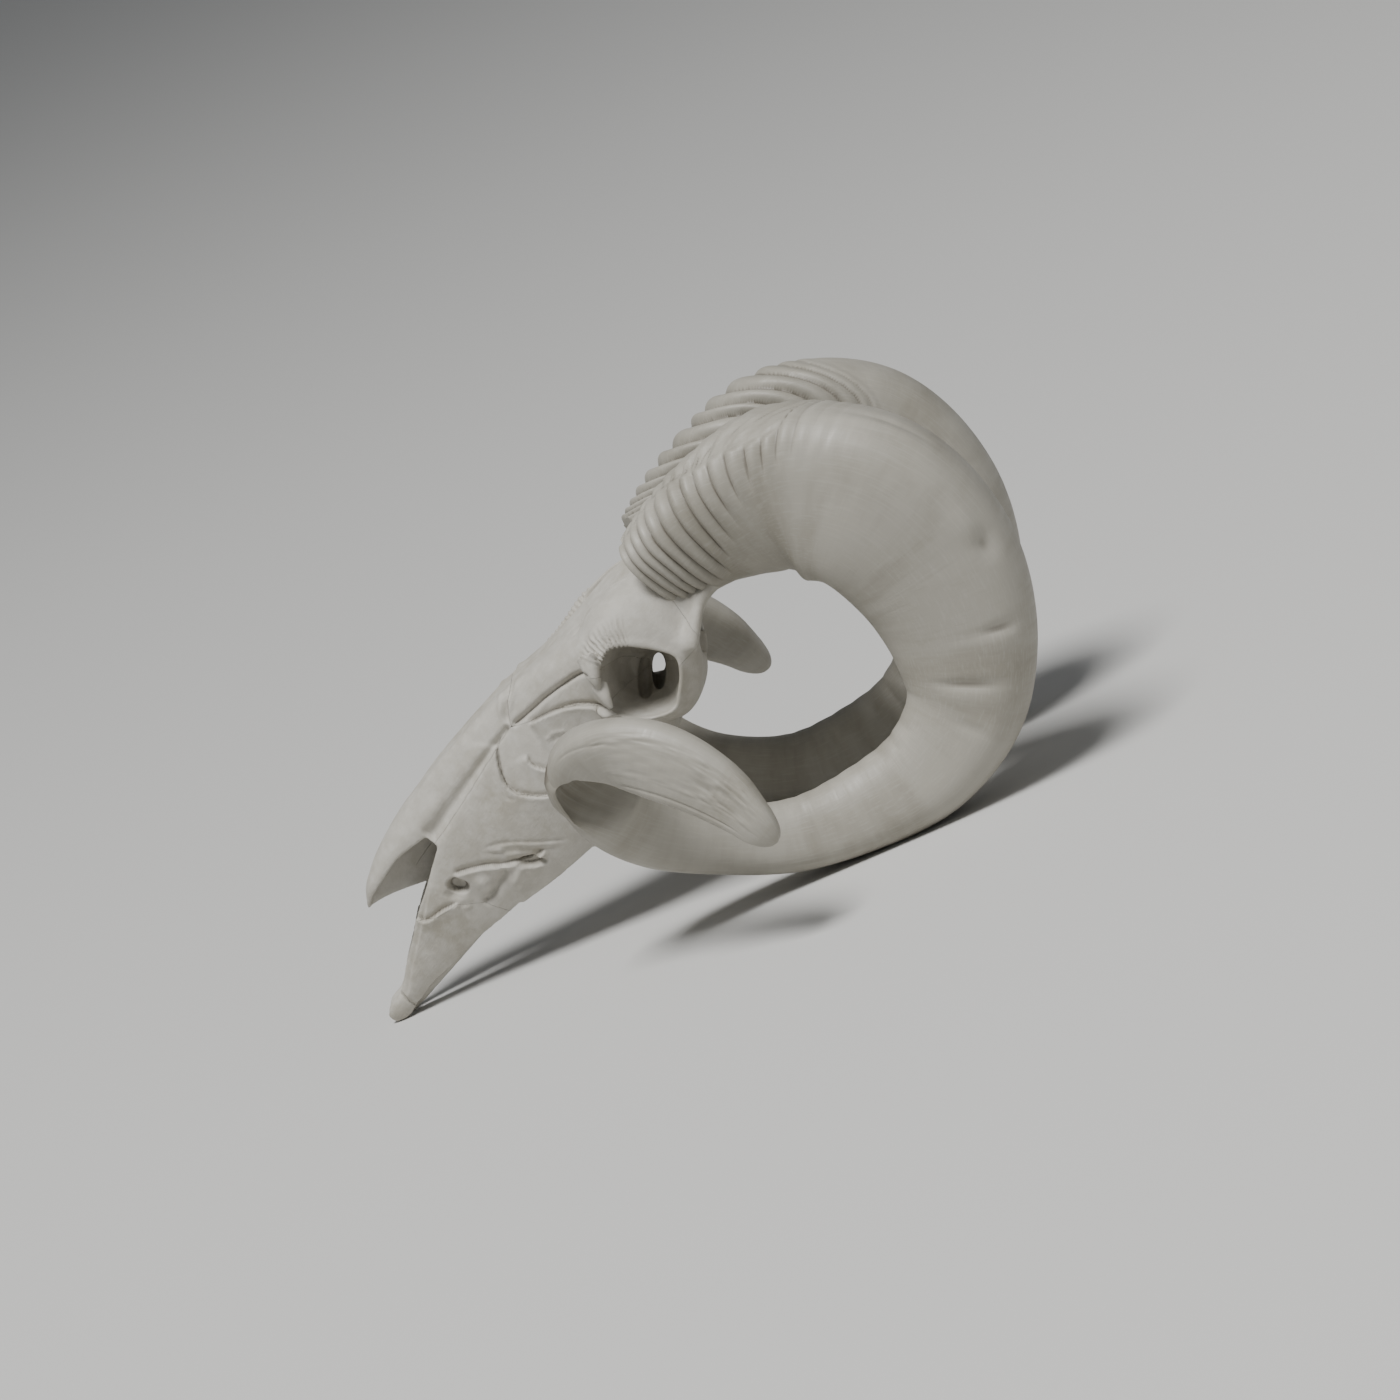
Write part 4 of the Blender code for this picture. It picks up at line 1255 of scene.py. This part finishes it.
    def right_crest(self) -> bpy.types.Object:
        """Builds the knobby crest of the right brow, which ends the far side in the photo."""
        route = rounded(self.crest_route, 20)
        knobs = np.abs(np.sin(math.pi * lengths_along(route) / self.crest_knob)) ** 0.8
        radii = self.crest_radius + self.crest_height * knobs
        return tube("right_crest", route, radii, steps=1)

    def teeth(self) -> list[bpy.types.Object]:
        """Builds the six cheek teeth of the right side, two cusps each."""
        first, last = self.tooth_row
        length = (last - first) / self.tooth_count
        turns = np.linspace(0, 2 * math.pi, 48, endpoint=False)
        made = []
        for k in range(self.tooth_count):
            part = (k + 0.5) / self.tooth_count
            place = first + length * (k + 0.5)
            line, half = between(self.tooth_line, part), 0.5 * between(self.tooth_width, part)
            crown = between(self.tooth_crown, math.sin(part * math.pi * 0.6))
            rings = []
            for height in np.linspace(self.tooth_neck, crown, self.tooth_rings):
                down = (height - self.tooth_neck) / (crown - self.tooth_neck)
                size = 0.8 + 0.18 * math.sin(math.pi * min(1.0, down * 1.3)) - 0.06 * down
                lobes = 1 + 0.1 * np.cos(2 * turns) - 0.05 * np.cos(6 * turns)
                x = place + 0.5 * length * size * boxy(np.cos(turns), self.tooth_power)
                y = line + half * size * lobes * boxy(np.sin(turns), self.tooth_power)
                cusp = self.cusp_height * down**6 * np.cos(4 * math.pi * (x - place) / length)
                rings.append(np.column_stack((x, y, height - cusp)))
            made.append(loft("tooth", np.array(rings)))
        return made

    def socket(self) -> bpy.types.Object:
        """Builds the hollow of the orbit, from its mouth in to its floor."""
        mouth = self.rim_outline(0.0, self.orbit[1])
        middle = np.array(self.orbit)
        rings = []
        for at, size in self.socket_profile:
            ring = middle + (mouth - middle) * size
            ring[:, 1] = at
            rings.append(ring)
        return loft("socket", even_rings(np.array(rings), self.orbit_rings))

    def whole(self) -> bpy.types.Object:
        """Joins all the bone in one body and opens its hollows."""
        side = [self.side_plate(), self.orbit_wall(), *self.teeth()]
        side += [
            tube("bar", self.bar_route, self.bar_radii),
            tube("brow", self.brow_route, self.brow_radii),
            tube("arch", self.arch_route, self.arch_radii),
            tube("process", self.process_route, self.process_radii),
            ellipsoid("condyle", *self.condyle),
            ellipsoid("ear_capsule", *self.ear_capsule),
        ]
        middle = [self.nasal_roof(), self.palate_bar(), ellipsoid("crest", *self.crest)]
        skull = self.body()
        combine(skull, "UNION", middle + side + [mirrored(piece) for piece in side])
        hollows = [
            ellipsoid("nasal_cavity", *self.nasal_cavity),
            ellipsoid("orbit_hole", *self.orbit_hole, self.orbit_lean),
            ellipsoid("neck_hole", *self.neck_hole),
        ]
        for hollow in (
            self.socket(),
            ellipsoid("orbit_recess", *self.orbit_recess, self.orbit_lean),
            ellipsoid("fossa", *self.fossa),
        ):
            hollows += [hollow, mirrored(hollow)]
        combine(skull, "DIFFERENCE", hollows)
        combine(skull, "UNION", [self.nose_septum()])
        return skull

    def knobs(self, points: np.ndarray) -> np.ndarray:
        """Rough knobs on the brow over each orbit."""
        x, z = points[:, 0] - self.orbit[0], points[:, 2] - self.orbit[2]
        turn, radius = np.degrees(np.arctan2(z, x)), np.hypot(x, z)
        where = window(turn, 48, 56, 97, 106) * window(radius, 19, 21, 31, 36)
        where *= smooth_step(np.abs(points[:, 1]), 36, 43)
        wave = np.sin(np.radians(turn) * self.knob_waves + 1.2 * soft_noise(points, 4.0, 11))
        return self.knob_height * where * wave * (0.75 + 0.25 * soft_noise(points, 5.0, 12))

    def shape_surface(self, skull: bpy.types.Object) -> None:
        """Works every mark into the surface and keeps what the finish reads.

        Args:
            skull: The remeshed skull.
        """
        mesh = skull.data
        points, normals = mesh_points(mesh), mesh_normals(mesh)
        rise = self.unevenness * soft_noise(points, self.uneven_size, 3)
        rise += self.roughness * soft_noise(points, self.rough_size, 4)
        deepest = np.zeros(len(points))
        for mark in MARKS:
            own = mark.rise(points, normals)
            if isinstance(mark, Mark) and mark.form is Form.GROOVE:
                deepest = np.minimum(deepest, own)
            else:
                rise += own
        rise += deepest
        rise += self.knobs(points)
        points = points + normals * rise[:, None]
        move_points(mesh, points)
        # Painted shade, with dust: the deeper a point lies under the smoothed surface, the darker
        # its colour.
        sunk = depth_under(skull, points, 10)
        dust_and_shade = smooth_step(sunk, *self.crevice_depth) * self.crevice_dust_and_shade
        write_attribute(mesh, "dust_and_shade_mask", dust_and_shade)
        x, across, z = points[:, 0], np.abs(points[:, 1]), points[:, 2]
        tooth = window(x, 138, 140, 207, 209) * smooth_step(across, 12, 14)
        write_attribute(mesh, "tooth", tooth * smooth_step(z, -28.5, -30.5))

    def soften(self, skull: bpy.types.Object) -> None:
        """Blends the orbit's wall and the brow, but not the lip."""
        points = mesh_points(skull.data)
        flat, across = points[:, (0, 2)], np.abs(points[:, 1])
        weight = smooth_step(across, 22, 30) * window(points[:, 0], 196, 206, 280, 292)
        weight *= smooth_step(points[:, 2], -34, -26)
        near = np.flatnonzero(weight > 0)
        outline = self.rim_outline(0.0, 0.0)[:, (0, 2)]
        apart = np.full(len(points), 99.0)
        aparts = [np.linalg.norm(flat[near] - corner, axis=1) for corner in outline]
        apart[near] = np.min(aparts, axis=0)
        weight *= smooth_step(apart, *self.kept_lip)
        softer = smoothed_points(skull, self.softening)
        move_points(skull.data, points + (softer - points) * weight[:, None])

    def fine(self) -> bpy.types.Object:
        """Builds the skull whole, with its fine surface."""
        skull = self.whole()
        self.remeshed(skull, 4)
        self.soften(skull)
        spurs = self.spurs()
        combine(skull, "UNION", spurs + [mirrored(piece) for piece in spurs] + [self.right_crest()])
        self.remeshed(skull, 2)
        self.shape_surface(skull)
        return skull

    def remeshed(self, skull: bpy.types.Object, smoothing: int) -> None:
        """Gives the skull an even fine mesh and smooths it a few times."""
        remesh = skull.modifiers.new("remesh", "REMESH")
        remesh.mode = "VOXEL"
        remesh.voxel_size = self.voxel
        add_smoothing(skull, smoothing)
        evaluated_mesh(skull)

    def parted(self, skull: bpy.types.Object) -> list[tuple[str, bpy.types.Object]]:
        """Parts the skull along its sutures.

        Args:
            skull: The whole skull, which is used up.

        Returns:
            The name of its solid and the object, for each bone.
        """
        points = mesh_points(skull.data)
        kept = {
            name: read_values(skull.data.attributes[name].data, "value", np.float32)
            for name in ("dust_and_shade_mask", "tooth")
        }
        tree = point_tree(points)
        walls = [
            suture.wall(self.gap, self.wander, self.suture_seed + k)
            for k, suture in enumerate(SUTURES)
        ]
        combine(skull, "DIFFERENCE", walls)
        wanted = {"braincase": (290, 0, 5)}
        for name, (x, y, z) in BONE_POINTS.items():
            wanted[name + "_left"] = (x, -y, z)
            wanted[name + "_right"] = (x, y, z)
        made = []
        for own, faces in loose_bodies(skull.data):
            surface = BVHTree.FromPolygons(own.tolist(), faces)
            names = [name for name, point in wanted.items() if holds(surface, point)]
            if not names:
                continue
            name = names[0]
            del wanted[name]
            bone = mesh_object(name + "_bone", REST.place(own), faces)
            nearest = [tree.find(point)[1] for point in own]
            write_attribute(bone.data, "place", own)
            for key, values in kept.items():
                write_attribute(bone.data, key, values[nearest])
            made.append((name, bone))
        if wanted:
            raise RuntimeError(f"no bone holds {sorted(wanted)}")
        bpy.data.objects.remove(skull, do_unlink=True)
        return made


# A point inside each bone of the right side, which tells the pieces apart.
BONE_POINTS: dict[str, Point] = {
    "nasal": (120, 8, 48),
    "frontal": (215, 10, 38),
    "lacrimal": (187, 12, 28),
    "zygomatic": (165, 12, 12),
    "maxilla": (120, 14, 0),
    "premaxilla": (40, 10.5, 0),
    "incisive_tip": (6, 6.3, -1),
}


def even_rings(rings: np.ndarray, count: int) -> np.ndarray:
    """Reads rings smoothly at even steps from the first to the last."""
    flat = np.column_stack((np.arange(len(rings)), rings.reshape(len(rings), -1)))
    return even_rows(flat, count)[:, 1:].reshape(count, *rings.shape[1:])


@dataclass
class Horn:
    """One curled horn, ridged across near its base.

    Lengths are in millimetres, and turns around the horn in degrees. The
    stations are those of the solids: the middle of a section, and its depth
    and width. Places are lengths along the horn. A dent's row holds its place
    and turn, its reach along the horn and around it, and its depth.
    """

    stations: Rows = (
        (268, 25, 25, 47, 38),
        (283, 30, 23, 53, 43),
        (312.8, 40, 15.6, 65, 50),
        (345.8, 55, -1.4, 80, 58),
        (361, 67, -30, 88, 62),
        (356, 67, -75, 86, 60),
        (332, 65, -113, 72, 53),
        (308, 64, -131, 60, 47),
        (272, 64, -135, 50, 41),
        (237, 65, -122, 42, 37),
        (207, 68, -102, 36, 33),
        (185, 75, -72, 34, 31),
        (173, 88, -40, 38, 30),
        (173, 105, -13, 38, 29),
        (186, 125, 9, 37, 25),
        (202.5, 145, 5.4, 35, 20),
        (216.2, 163, -12.6, 37, 17),
        (223, 175, -45.2, 29.5, 15),
        (222.2, 184, -68.5, 19.5, 12),
        (221.5, 186, -77.8, 18, 9),
    )
    bend: Sequence[float] = (66, 92, 142, 170)
    bend_spans: Span = (1.0, 15.0)
    swell_middle: float = 86.0
    swell_reach: float = 26.0
    swell_spread: float = 40.0
    swell_height: float = 6.5
    # Sunk depths over which painted shade, with dust, darkens the rib valleys, and how dark it
    # gets.
    crevice_depth: Span = (0.05, 0.5)
    crevice_dust_and_shade: float = 0.8
    sides: int = 200
    power: float = 0.8
    taper: float = 0.26
    blade_taper: float = 0.5
    taper_change: Span = (470, 540)
    tip: float = 15.0
    plain_tip: float = 14.0
    bay_start: Span = (455, 482)
    bay_edge: Line = (
        (38, 489), (52, 491.7), (65, 493.5), (72, 494.5), (81, 496), (88, 499), (103, 503.5),
        (124, 510.5), (137, 514), (151, 517),
    )
    bay_end_wall: float = 6.0
    bay_moves: Rows = (
        (30, 0, 0), (42, 0.03, -0.02), (52, 0.2, -0.08), (62, 0.42, -0.2), (75, 0.72, -0.45),
        (90, 0.95, -0.85), (105, 1.1, -1.15), (120, 1.05, -1.3), (135, 0.88, -1.35),
        (150, 0.65, -1.22), (165, 0.36, -1.05), (180, 0.1, -0.72), (195, -0.02, -0.37),
        (210, -0.08, -0.22), (225, -0.03, -0.1), (240, 0, 0),
    )
    outer_ribs: Sequence[float] = (
        -8, -2, 3.5, 9, 14.5, 20.5, 28, 37, 45.5, 54.5, 63.5, 72, 80, 87, 93, 98.5, 104, 109, 114,
    )
    inner_ribs: Sequence[float] = (
        -16, -10, -5, 0, 3.5, 8, 13, 20, 30, 40, 54, 62.5, 73, 84, 91.5, 97, 102,
    )
    outer_depth: float = 3.8
    inner_depth: float = 4.8
    outer_strength: Line = (
        (0, 0.6), (14, 0.7), (28, 1), (74, 1), (84, 0.85), (92, 0.55), (100, 0.3), (116, 0),
    )
    inner_strength: Line = (
        (0, 0.5), (10, 0.6), (20, 1), (74, 1), (84, 0.65), (91, 0.35), (97, 0.2), (104, 0),
    )
    slant: Line = (
        (-90, 26), (-58, 18), (-50, 15.5), (-40, 11.5), (-30, 7.5), (-20, 4), (-10, 1.5), (0, 0),
        (10, -4), (20, -8.5), (35, -15), (50, -21),
    )
    corner: Line = (
        (0, 12), (12, 6), (24, -2), (33, 4), (47, 20), (61, 29), (73, 33), (81, 41), (86, 41),
        (90, 38), (93, 31), (94.5, 12), (97, -16),
    )
    outer_end: Line = (
        (0, 175), (14, 160), (28, 140), (39, 124), (46, 108), (54, 97), (61, 89), (70, 82),
        (80, 76), (100, 68),
    )
    near_cap: float = 22.0
    far_cap: float = 30.0
    noise_radius: float = 22.0
    ribs_end: float = 122.0
    folds: Span = (245, 372)
    fold_pitch: float = 13.0
    fold_depth: float = 1.1
    band_ribs: tuple[float, float, float] = (-20.0, 110.0, 4.2)
    band_depth: float = 1.1
    wrinkle_depth: float = 0.6
    seam_depth: float = 0.6
    ring_steps: Sequence[float] = (0.62, 1.2, 0.9, 0.9)
    dent_rows: Rows = (
        (122, 16, 11, 4, 1.1),
        (121, 27, 13, 5, -0.9),
        (158, 58, 7, 10, -1.2),
        (170, 52, 5, 9, 2.1),
        (203, 66, 2.6, 16, 1.6),
        (208, 62, 5, 20, -0.8),
        (228, 90, 2.8, 22, 1.6),
        (235, 90, 6, 20, -0.9),
        (250, 84, 3, 12, 0.8),
    )

    def length(self) -> float:
        """Length of the horn along its stations."""
        return float(lengths_along(np.array(self.stations)[:, :3])[-1])

    def places(self) -> np.ndarray:
        """Places of the rings along the horn, close together where it is ribbed."""
        stops = (0.0, self.ribs_end, *self.folds, self.length())
        steps = [np.arange(*stretch) for stretch in zip(stops, stops[1:], self.ring_steps)]
        return np.concatenate((*steps, stops[-1:]))

    def bay(self, place: np.ndarray, turn: np.ndarray) -> tuple[np.ndarray, np.ndarray]:
        """Moves the section where the last turn of the curl opens in a bay.

        The bay lies on the inner side and looks away from the skull.

        Args:
            place: Length along the horn of each point.
            turn: Turn of each point around it in degrees.

        Returns:
            The moves outward and sideways, as parts of the section's half sizes.
        """
        around = turn % 360
        edge = read_line(self.bay_edge, around)
        bend = smooth_step(place, *self.bay_start)
        bend *= smooth_step((edge - place) / self.bay_end_wall, 0, 1)
        turns, out, side = np.array(self.bay_moves, float).T
        return bend * np.interp(around, turns, out), bend * np.interp(around, turns, side)

    @staticmethod
    def ribs(
        place: np.ndarray, valleys: Sequence[float], power: float, lean: float = 1.0
    ) -> np.ndarray:
        """Round ribs between sharp valleys, from -1 in a valley to 0 on a rib.

        Args:
            place: Where each point lies across the ribs.
            valleys: Places of the valleys.
            power: Below 1 it makes the ribs broad and the valleys narrow.
            lean: Below 1 it moves each rib's top towards the horn's base.

        Returns:
            The height at each point.
        """
        phase = np.interp(place, valleys, np.arange(len(valleys))) % 1.0
        return (np.sin(math.pi * phase**lean) ** 2 + 0.015) ** (0.5 * power) - 1

    def ridges(self, place: np.ndarray, turn: np.ndarray, far: bool) -> np.ndarray:
        """Height of the horn's ribs, folds and wrinkles over its plain surface.

        Args:
            place: Length along the horn of each point.
            turn: Turn of each point around it in degrees, 0 at the outer edge
                of the curl and 90 on the side that faces away from the skull.
            far: Whether it is the right horn, whose inner ribs run on further
                over its outer edge, as the photo shows against the sky.

        Returns:
            The height at each point, in millimetres.
        """
        radius = self.noise_radius
        around = np.radians(turn)
        at = np.column_stack((place, radius * np.cos(around), radius * np.sin(around)))
        stray = soft_noise(at, (16.0, 14.0, 14.0), 31)
        corner = read_line(self.corner, place)
        cap = np.full(len(place), self.far_cap) if far else np.minimum(corner, self.near_cap)
        if far:
            corner = np.maximum(corner, self.far_cap) + 4
        # The ribs of the outer side, which faces away from the skull.
        end = read_line(self.outer_end, place)
        outer = window(turn, corner - 1, corner + 9, end - 16, end + 12)
        strength = read_line(self.outer_strength, place)
        ribs = self.ribs(place + 0.7 * stray, self.outer_ribs, 0.95, 0.8) + 0.4
        high = self.outer_depth * strength * outer * ribs
        # Those of the inner side, which slant and meet them at the corner line.
        root = place - read_line(self.slant, np.minimum(turn, 0) if far else turn)
        inner = window(turn, -172, -125, cap - 11, cap + 3)
        strength = read_line(self.inner_strength, root)
        ribs = self.ribs(root + 0.5 * stray, self.inner_ribs, 0.95, 0.72) + 0.45
        high += self.inner_depth * strength * inner * ribs
        # The finely wrinkled band between both, with the seam at its edge.
        band = window(turn, cap - 9, cap + 1, corner - 5, corner + 3) * smooth_step(place, 99, 90)
        wrinkles = soft_noise(np.column_stack((root, at[:, 1:])), (2.6, 16.0, 16.0), 32)
        low_ribs = self.ribs(root + 0.8 * stray, np.arange(*self.band_ribs), 0.7, 0.7)
        low_ribs *= smooth_step(place, 80, 60)
        high += band * (self.wrinkle_depth * wrinkles + self.band_depth * low_ribs)
        high -= self.seam_depth * bell((turn - corner) / 4.5) * smooth_step(place, 99, 92)
        high += self.folding(place, turn, at) + self.dents(place, turn)
        high += self.blade_lines(place, turn, at)
        # The sharpest bend folds in on its inner edge, so that is filled out.
        beyond, aside = place - self.swell_middle, 180 - np.abs(turn)
        high += self.swell_height * bell(beyond / self.swell_reach, aside / self.swell_spread)
        high += 0.4 * soft_noise(at, (34.0, 24.0, 24.0), 33)
        return high + 0.04 * soft_noise(at, (2.2, 16.0, 16.0), 34)

    def folding(self, place: np.ndarray, turn: np.ndarray, at: np.ndarray) -> np.ndarray:
        """Soft folds across the inner side of the curl's lower half."""
        around = turn % 360
        strayed = place + 2.0 * soft_noise(at, (20.0, 15.0, 15.0), 35)
        first, last = self.folds
        where = window(place, first, first + 22, last - 30, last)
        where *= window(around, 127, 140, 266, 292)
        where *= 0.3 + 0.7 * smooth_step(around, 205, 238)
        folds = self.ribs(strayed, np.arange(first, last, self.fold_pitch), 1.1)
        return self.fold_depth * where * folds

    def dents(self, place: np.ndarray, turn: np.ndarray) -> np.ndarray:
        """Single dents and creases on the side of the horn."""
        total = np.zeros_like(place)
        for middle, side, reach, spread, depth in self.dent_rows:
            total -= depth * bell((place - middle) / reach, (turn - side) / spread)
        return total

    @staticmethod
    def blade_lines(place: np.ndarray, turn: np.ndarray, at: np.ndarray) -> np.ndarray:
        """Lengthwise wrinkles and creases on the flat last turn."""
        face = window(place, 512, 530, 594, 612) * window(turn, 40, 58, 108, 122)
        fine = soft_noise(at, (8.0, 2.6, 2.6), 36) + 0.5 * soft_noise(at, (5.0, 1.5, 1.5), 37)
        patches = smooth_step(soft_noise(at, (24.0, 14.0, 14.0), 38), -0.4, 0.4)
        wrinkles = face * (0.35 + 0.65 * patches) * fine
        lower = bell((turn - 139) / 4) * window(place, 517, 530, 590, 604)
        slant = 47 + 0.85 * (place - 500)
        crease = bell((turn - slant) / 3) * window(place, 498, 504, 526, 534)
        return 0.8 * wrinkles - 0.6 * lower - 0.4 * crease

    def surface(self, far: bool) -> tuple[np.ndarray, np.ndarray]:
        """Works out the horn's rings, on the right side of the skull.

        Args:
            far: Whether it is the right horn, with ribs over its outer edge.

        Returns:
            The points of each ring, and their coordinates on the horn as if it
            were straight.
        """
        rows = np.array(self.stations, float)
        total = self.length()
        places = self.places()
        turns = np.linspace(-math.pi, math.pi, self.sides, endpoint=False)
        place, turn = (values.ravel() for values in np.meshgrid(places, turns, indexing="ij"))
        stations = spline(rows, place)
        span = between(self.bend_spans, window(place, *self.bend))
        ahead = unit(spline(rows, place + span)[:, :3] - spline(rows, place - span)[:, :3])
        outward = unit(np.cross(ahead, (0.0, 1.0, 0.0)))
        across = np.cross(outward, ahead)
        front, side = boxy(np.cos(turn), self.power), boxy(np.sin(turn), self.power)
        end = np.clip((place - total) / self.tip + 1, 0, 1)
        keep = np.sqrt(1 - np.minimum(end, 0.999) ** 2)
        moved_out, moved_side = self.bay(place, np.degrees(turn))
        taper = between((self.taper, self.blade_taper), smooth_step(place, *self.taper_change))
        out = (front + moved_out) * 0.5 * stations[:, 3]
        aside = (side * (1 + taper * front) + moved_side) * 0.5 * stations[:, 4]
        reach = outward * (keep * out)[:, None] + across * (keep * aside)[:, None]
        away = outward * np.cos(turn)[:, None] + across * np.sin(turn)[:, None]
        high = self.ridges(place, np.degrees(turn), far)
        high *= smooth_step(total - place, 0, self.plain_tip)
        points = stations[:, :3] + reach + away * high[:, None]
        size = 0.25 * (stations[:, 3] + stations[:, 4])
        grain = np.column_stack((place, size * np.cos(turn), size * np.sin(turn)))
        shape = (len(places), self.sides, 3)
        return points.reshape(shape), grain.reshape(shape)

    def build(self, skull: bpy.types.Object) -> list[tuple[str, bpy.types.Object]]:
        """Builds both horns, cut to the bone that they grow over.

        Args:
            skull: The whole skull, before it is parted.

        Returns:
            The name of its solid and the horn, left and right.
        """
        made = []
        for name, side in (("horn_left", -1), ("horn_right", 1)):
            rings, grain = self.surface(far=side > 0)
            horn = loft("horn", rings * (1, side, 1))
            points = mesh_points(horn.data)
            ends = (grain[0].mean(axis=0), grain[-1].mean(axis=0))
            lengthened = np.vstack((grain.reshape(-1, 3), *ends))
            sunk = depth_under(horn, points, 12)
            tree = point_tree(points)
            cutter = skull.copy()
            cutter.data = skull.data.copy()
            combine(horn, "DIFFERENCE", [cutter])
            own, faces = loose_bodies(horn.data)[0]
            bpy.data.objects.remove(horn, do_unlink=True)
            nearest = [tree.find(point)[1] for point in own]
            piece = mesh_object(name + "_sheath", REST.place(own), faces)
            write_attribute(piece.data, "grain", lengthened[nearest])
            # Painted shade, with dust, darkest where the horn lies furthest under its smoothed
            # surface.
            dust_and_shade = smooth_step(sunk[nearest], *self.crevice_depth) * self.crevice_dust_and_shade
            write_attribute(piece.data, "dust_and_shade_mask", dust_and_shade)
            made.append((name, piece))
        return made


def dress(piece: bpy.types.Object, material: bpy.types.Material, node: str) -> None:
    """Finishes a piece and ties it to the solid that it stands for.

    Args:
        piece: The finished mesh, in the model's metres.
        material: Its finish.
        node: The solid's name.
    """
    points = mesh_points(piece.data)
    points[:, 2] = np.maximum(points[:, 2], FLOOR_CLEARANCE)
    move_points(piece.data, points)
    piece.data.materials.clear()
    piece.data.materials.append(material)
    piece.data.shade_smooth()
    piece.data.set_sharp_from_angle(angle=math.radians(SHARP_DEGREES))
    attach(piece, BODY)
    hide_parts(node)
    LOG.info("%s: %d faces, in place of %s", piece.name, len(piece.data.polygons), node)


@dataclass
class Studio:
    """Pale floor, soft lights and the camera at the photo's angle.

    The photo shows the skull pitched further down than it can lie, so the
    camera turns with it. Angles are in degrees and lengths in metres.
    """

    photo_pitch: float = 54.7
    elevation: float = 13.0
    distance: float = 3.0
    pixels_per_mm: float = 2.0
    photo_pixels: int = 1400
    sensor_mm: float = 36.0
    middle: Point = (221.6, 0, -33.0)
    floor_size: float = 80.0
    air_colour: str = "#dfe3e8"
    air_strength: float = 0.23
    lights: tuple[tuple[str, Point, float, float], ...] = (
        ("key", (-3.0, 4.2, 3.3), 2.2, 490),
        ("fill", (1.5, 1.0, 1.8), 1.6, 2),
    )

    def axes(self) -> tuple[Vector, Vector, Vector]:
        """Right, up and back of the camera."""
        turn, lift = math.radians(self.photo_pitch - REST.pitch), math.radians(self.elevation)
        level = Vector((math.sin(turn), 0, math.cos(turn)))
        right = Vector((math.cos(turn), 0, -math.sin(turn)))
        up = level * math.cos(lift) + Vector((0, math.sin(lift), 0))
        back = level * math.sin(lift) - Vector((0, math.cos(lift), 0))
        return right, up, back

    def aim(self) -> Vector:
        """The point in the middle of the picture."""
        return Vector(REST.place(np.array([self.middle]))[0])

    def camera(self) -> None:
        """Adds the camera, with the long lens that the photo's scale needs."""
        data = bpy.data.cameras.new("camera")
        data.sensor_width = self.sensor_mm
        data.lens = self.pixels_per_mm / MM * self.distance / self.photo_pixels * self.sensor_mm
        data.clip_end = 100
        made = add_object("camera", data)
        right, up, back = self.axes()
        place = Matrix((right, up, back)).transposed().to_4x4()
        place.translation = self.aim() + back * self.distance
        made.matrix_world = place
        bpy.context.scene.camera = made

    def light(self, name: str, offset: Point, size: float, power: float) -> None:
        """Adds one soft light.

        Args:
            name: The light's name.
            offset: Its place from the aim, along the camera's right, up and back.
            size: Width of the square that shines, in metres.
            power: Its power in watts.
        """
        data = bpy.data.lights.new(name, "AREA")
        data.size = size
        data.energy = power
        made = add_object(name, data)
        right, up, back = self.axes()
        shift = right * offset[0] + up * offset[1] + back * offset[2]
        made.location = self.aim() + shift
        made.rotation_mode = "QUATERNION"
        made.rotation_quaternion = shift.to_track_quat("Z", "Y")

    def floor(self) -> None:
        """Adds the plain pale floor."""
        bpy.ops.mesh.primitive_plane_add(size=self.floor_size)
        made = bpy.context.object
        made.name = "floor"
        made.data.materials.append(PaintedFloor().make())

    def build(self) -> None:
        """Sets up the floor, the lights, the surroundings and the camera."""
        self.floor()
        for name, offset, size, power in self.lights:
            self.light(name, offset, size, power)
        world = bpy.data.worlds.new("studio")
        world.use_nodes = True
        shader = world.node_tree.nodes["Background"]
        shader.inputs["Color"].default_value = linear_colour(self.air_colour)
        shader.inputs["Strength"].default_value = self.air_strength
        bpy.context.scene.world = world
        self.camera()


def main() -> None:
    """Builds the skull, the horns and the studio."""
    logging.basicConfig(level=logging.INFO, format="%(message)s")
    skull = Skull()
    whole = skull.fine()
    bone, sheath = WeatheredBone().make(), WeatheredHorn().make()
    for node, piece in Horn().build(whole):
        dress(piece, sheath, node)
    for node, piece in skull.parted(whole):
        dress(piece, bone, node)
    Studio().build()


if __name__ == "__main__":
    main()
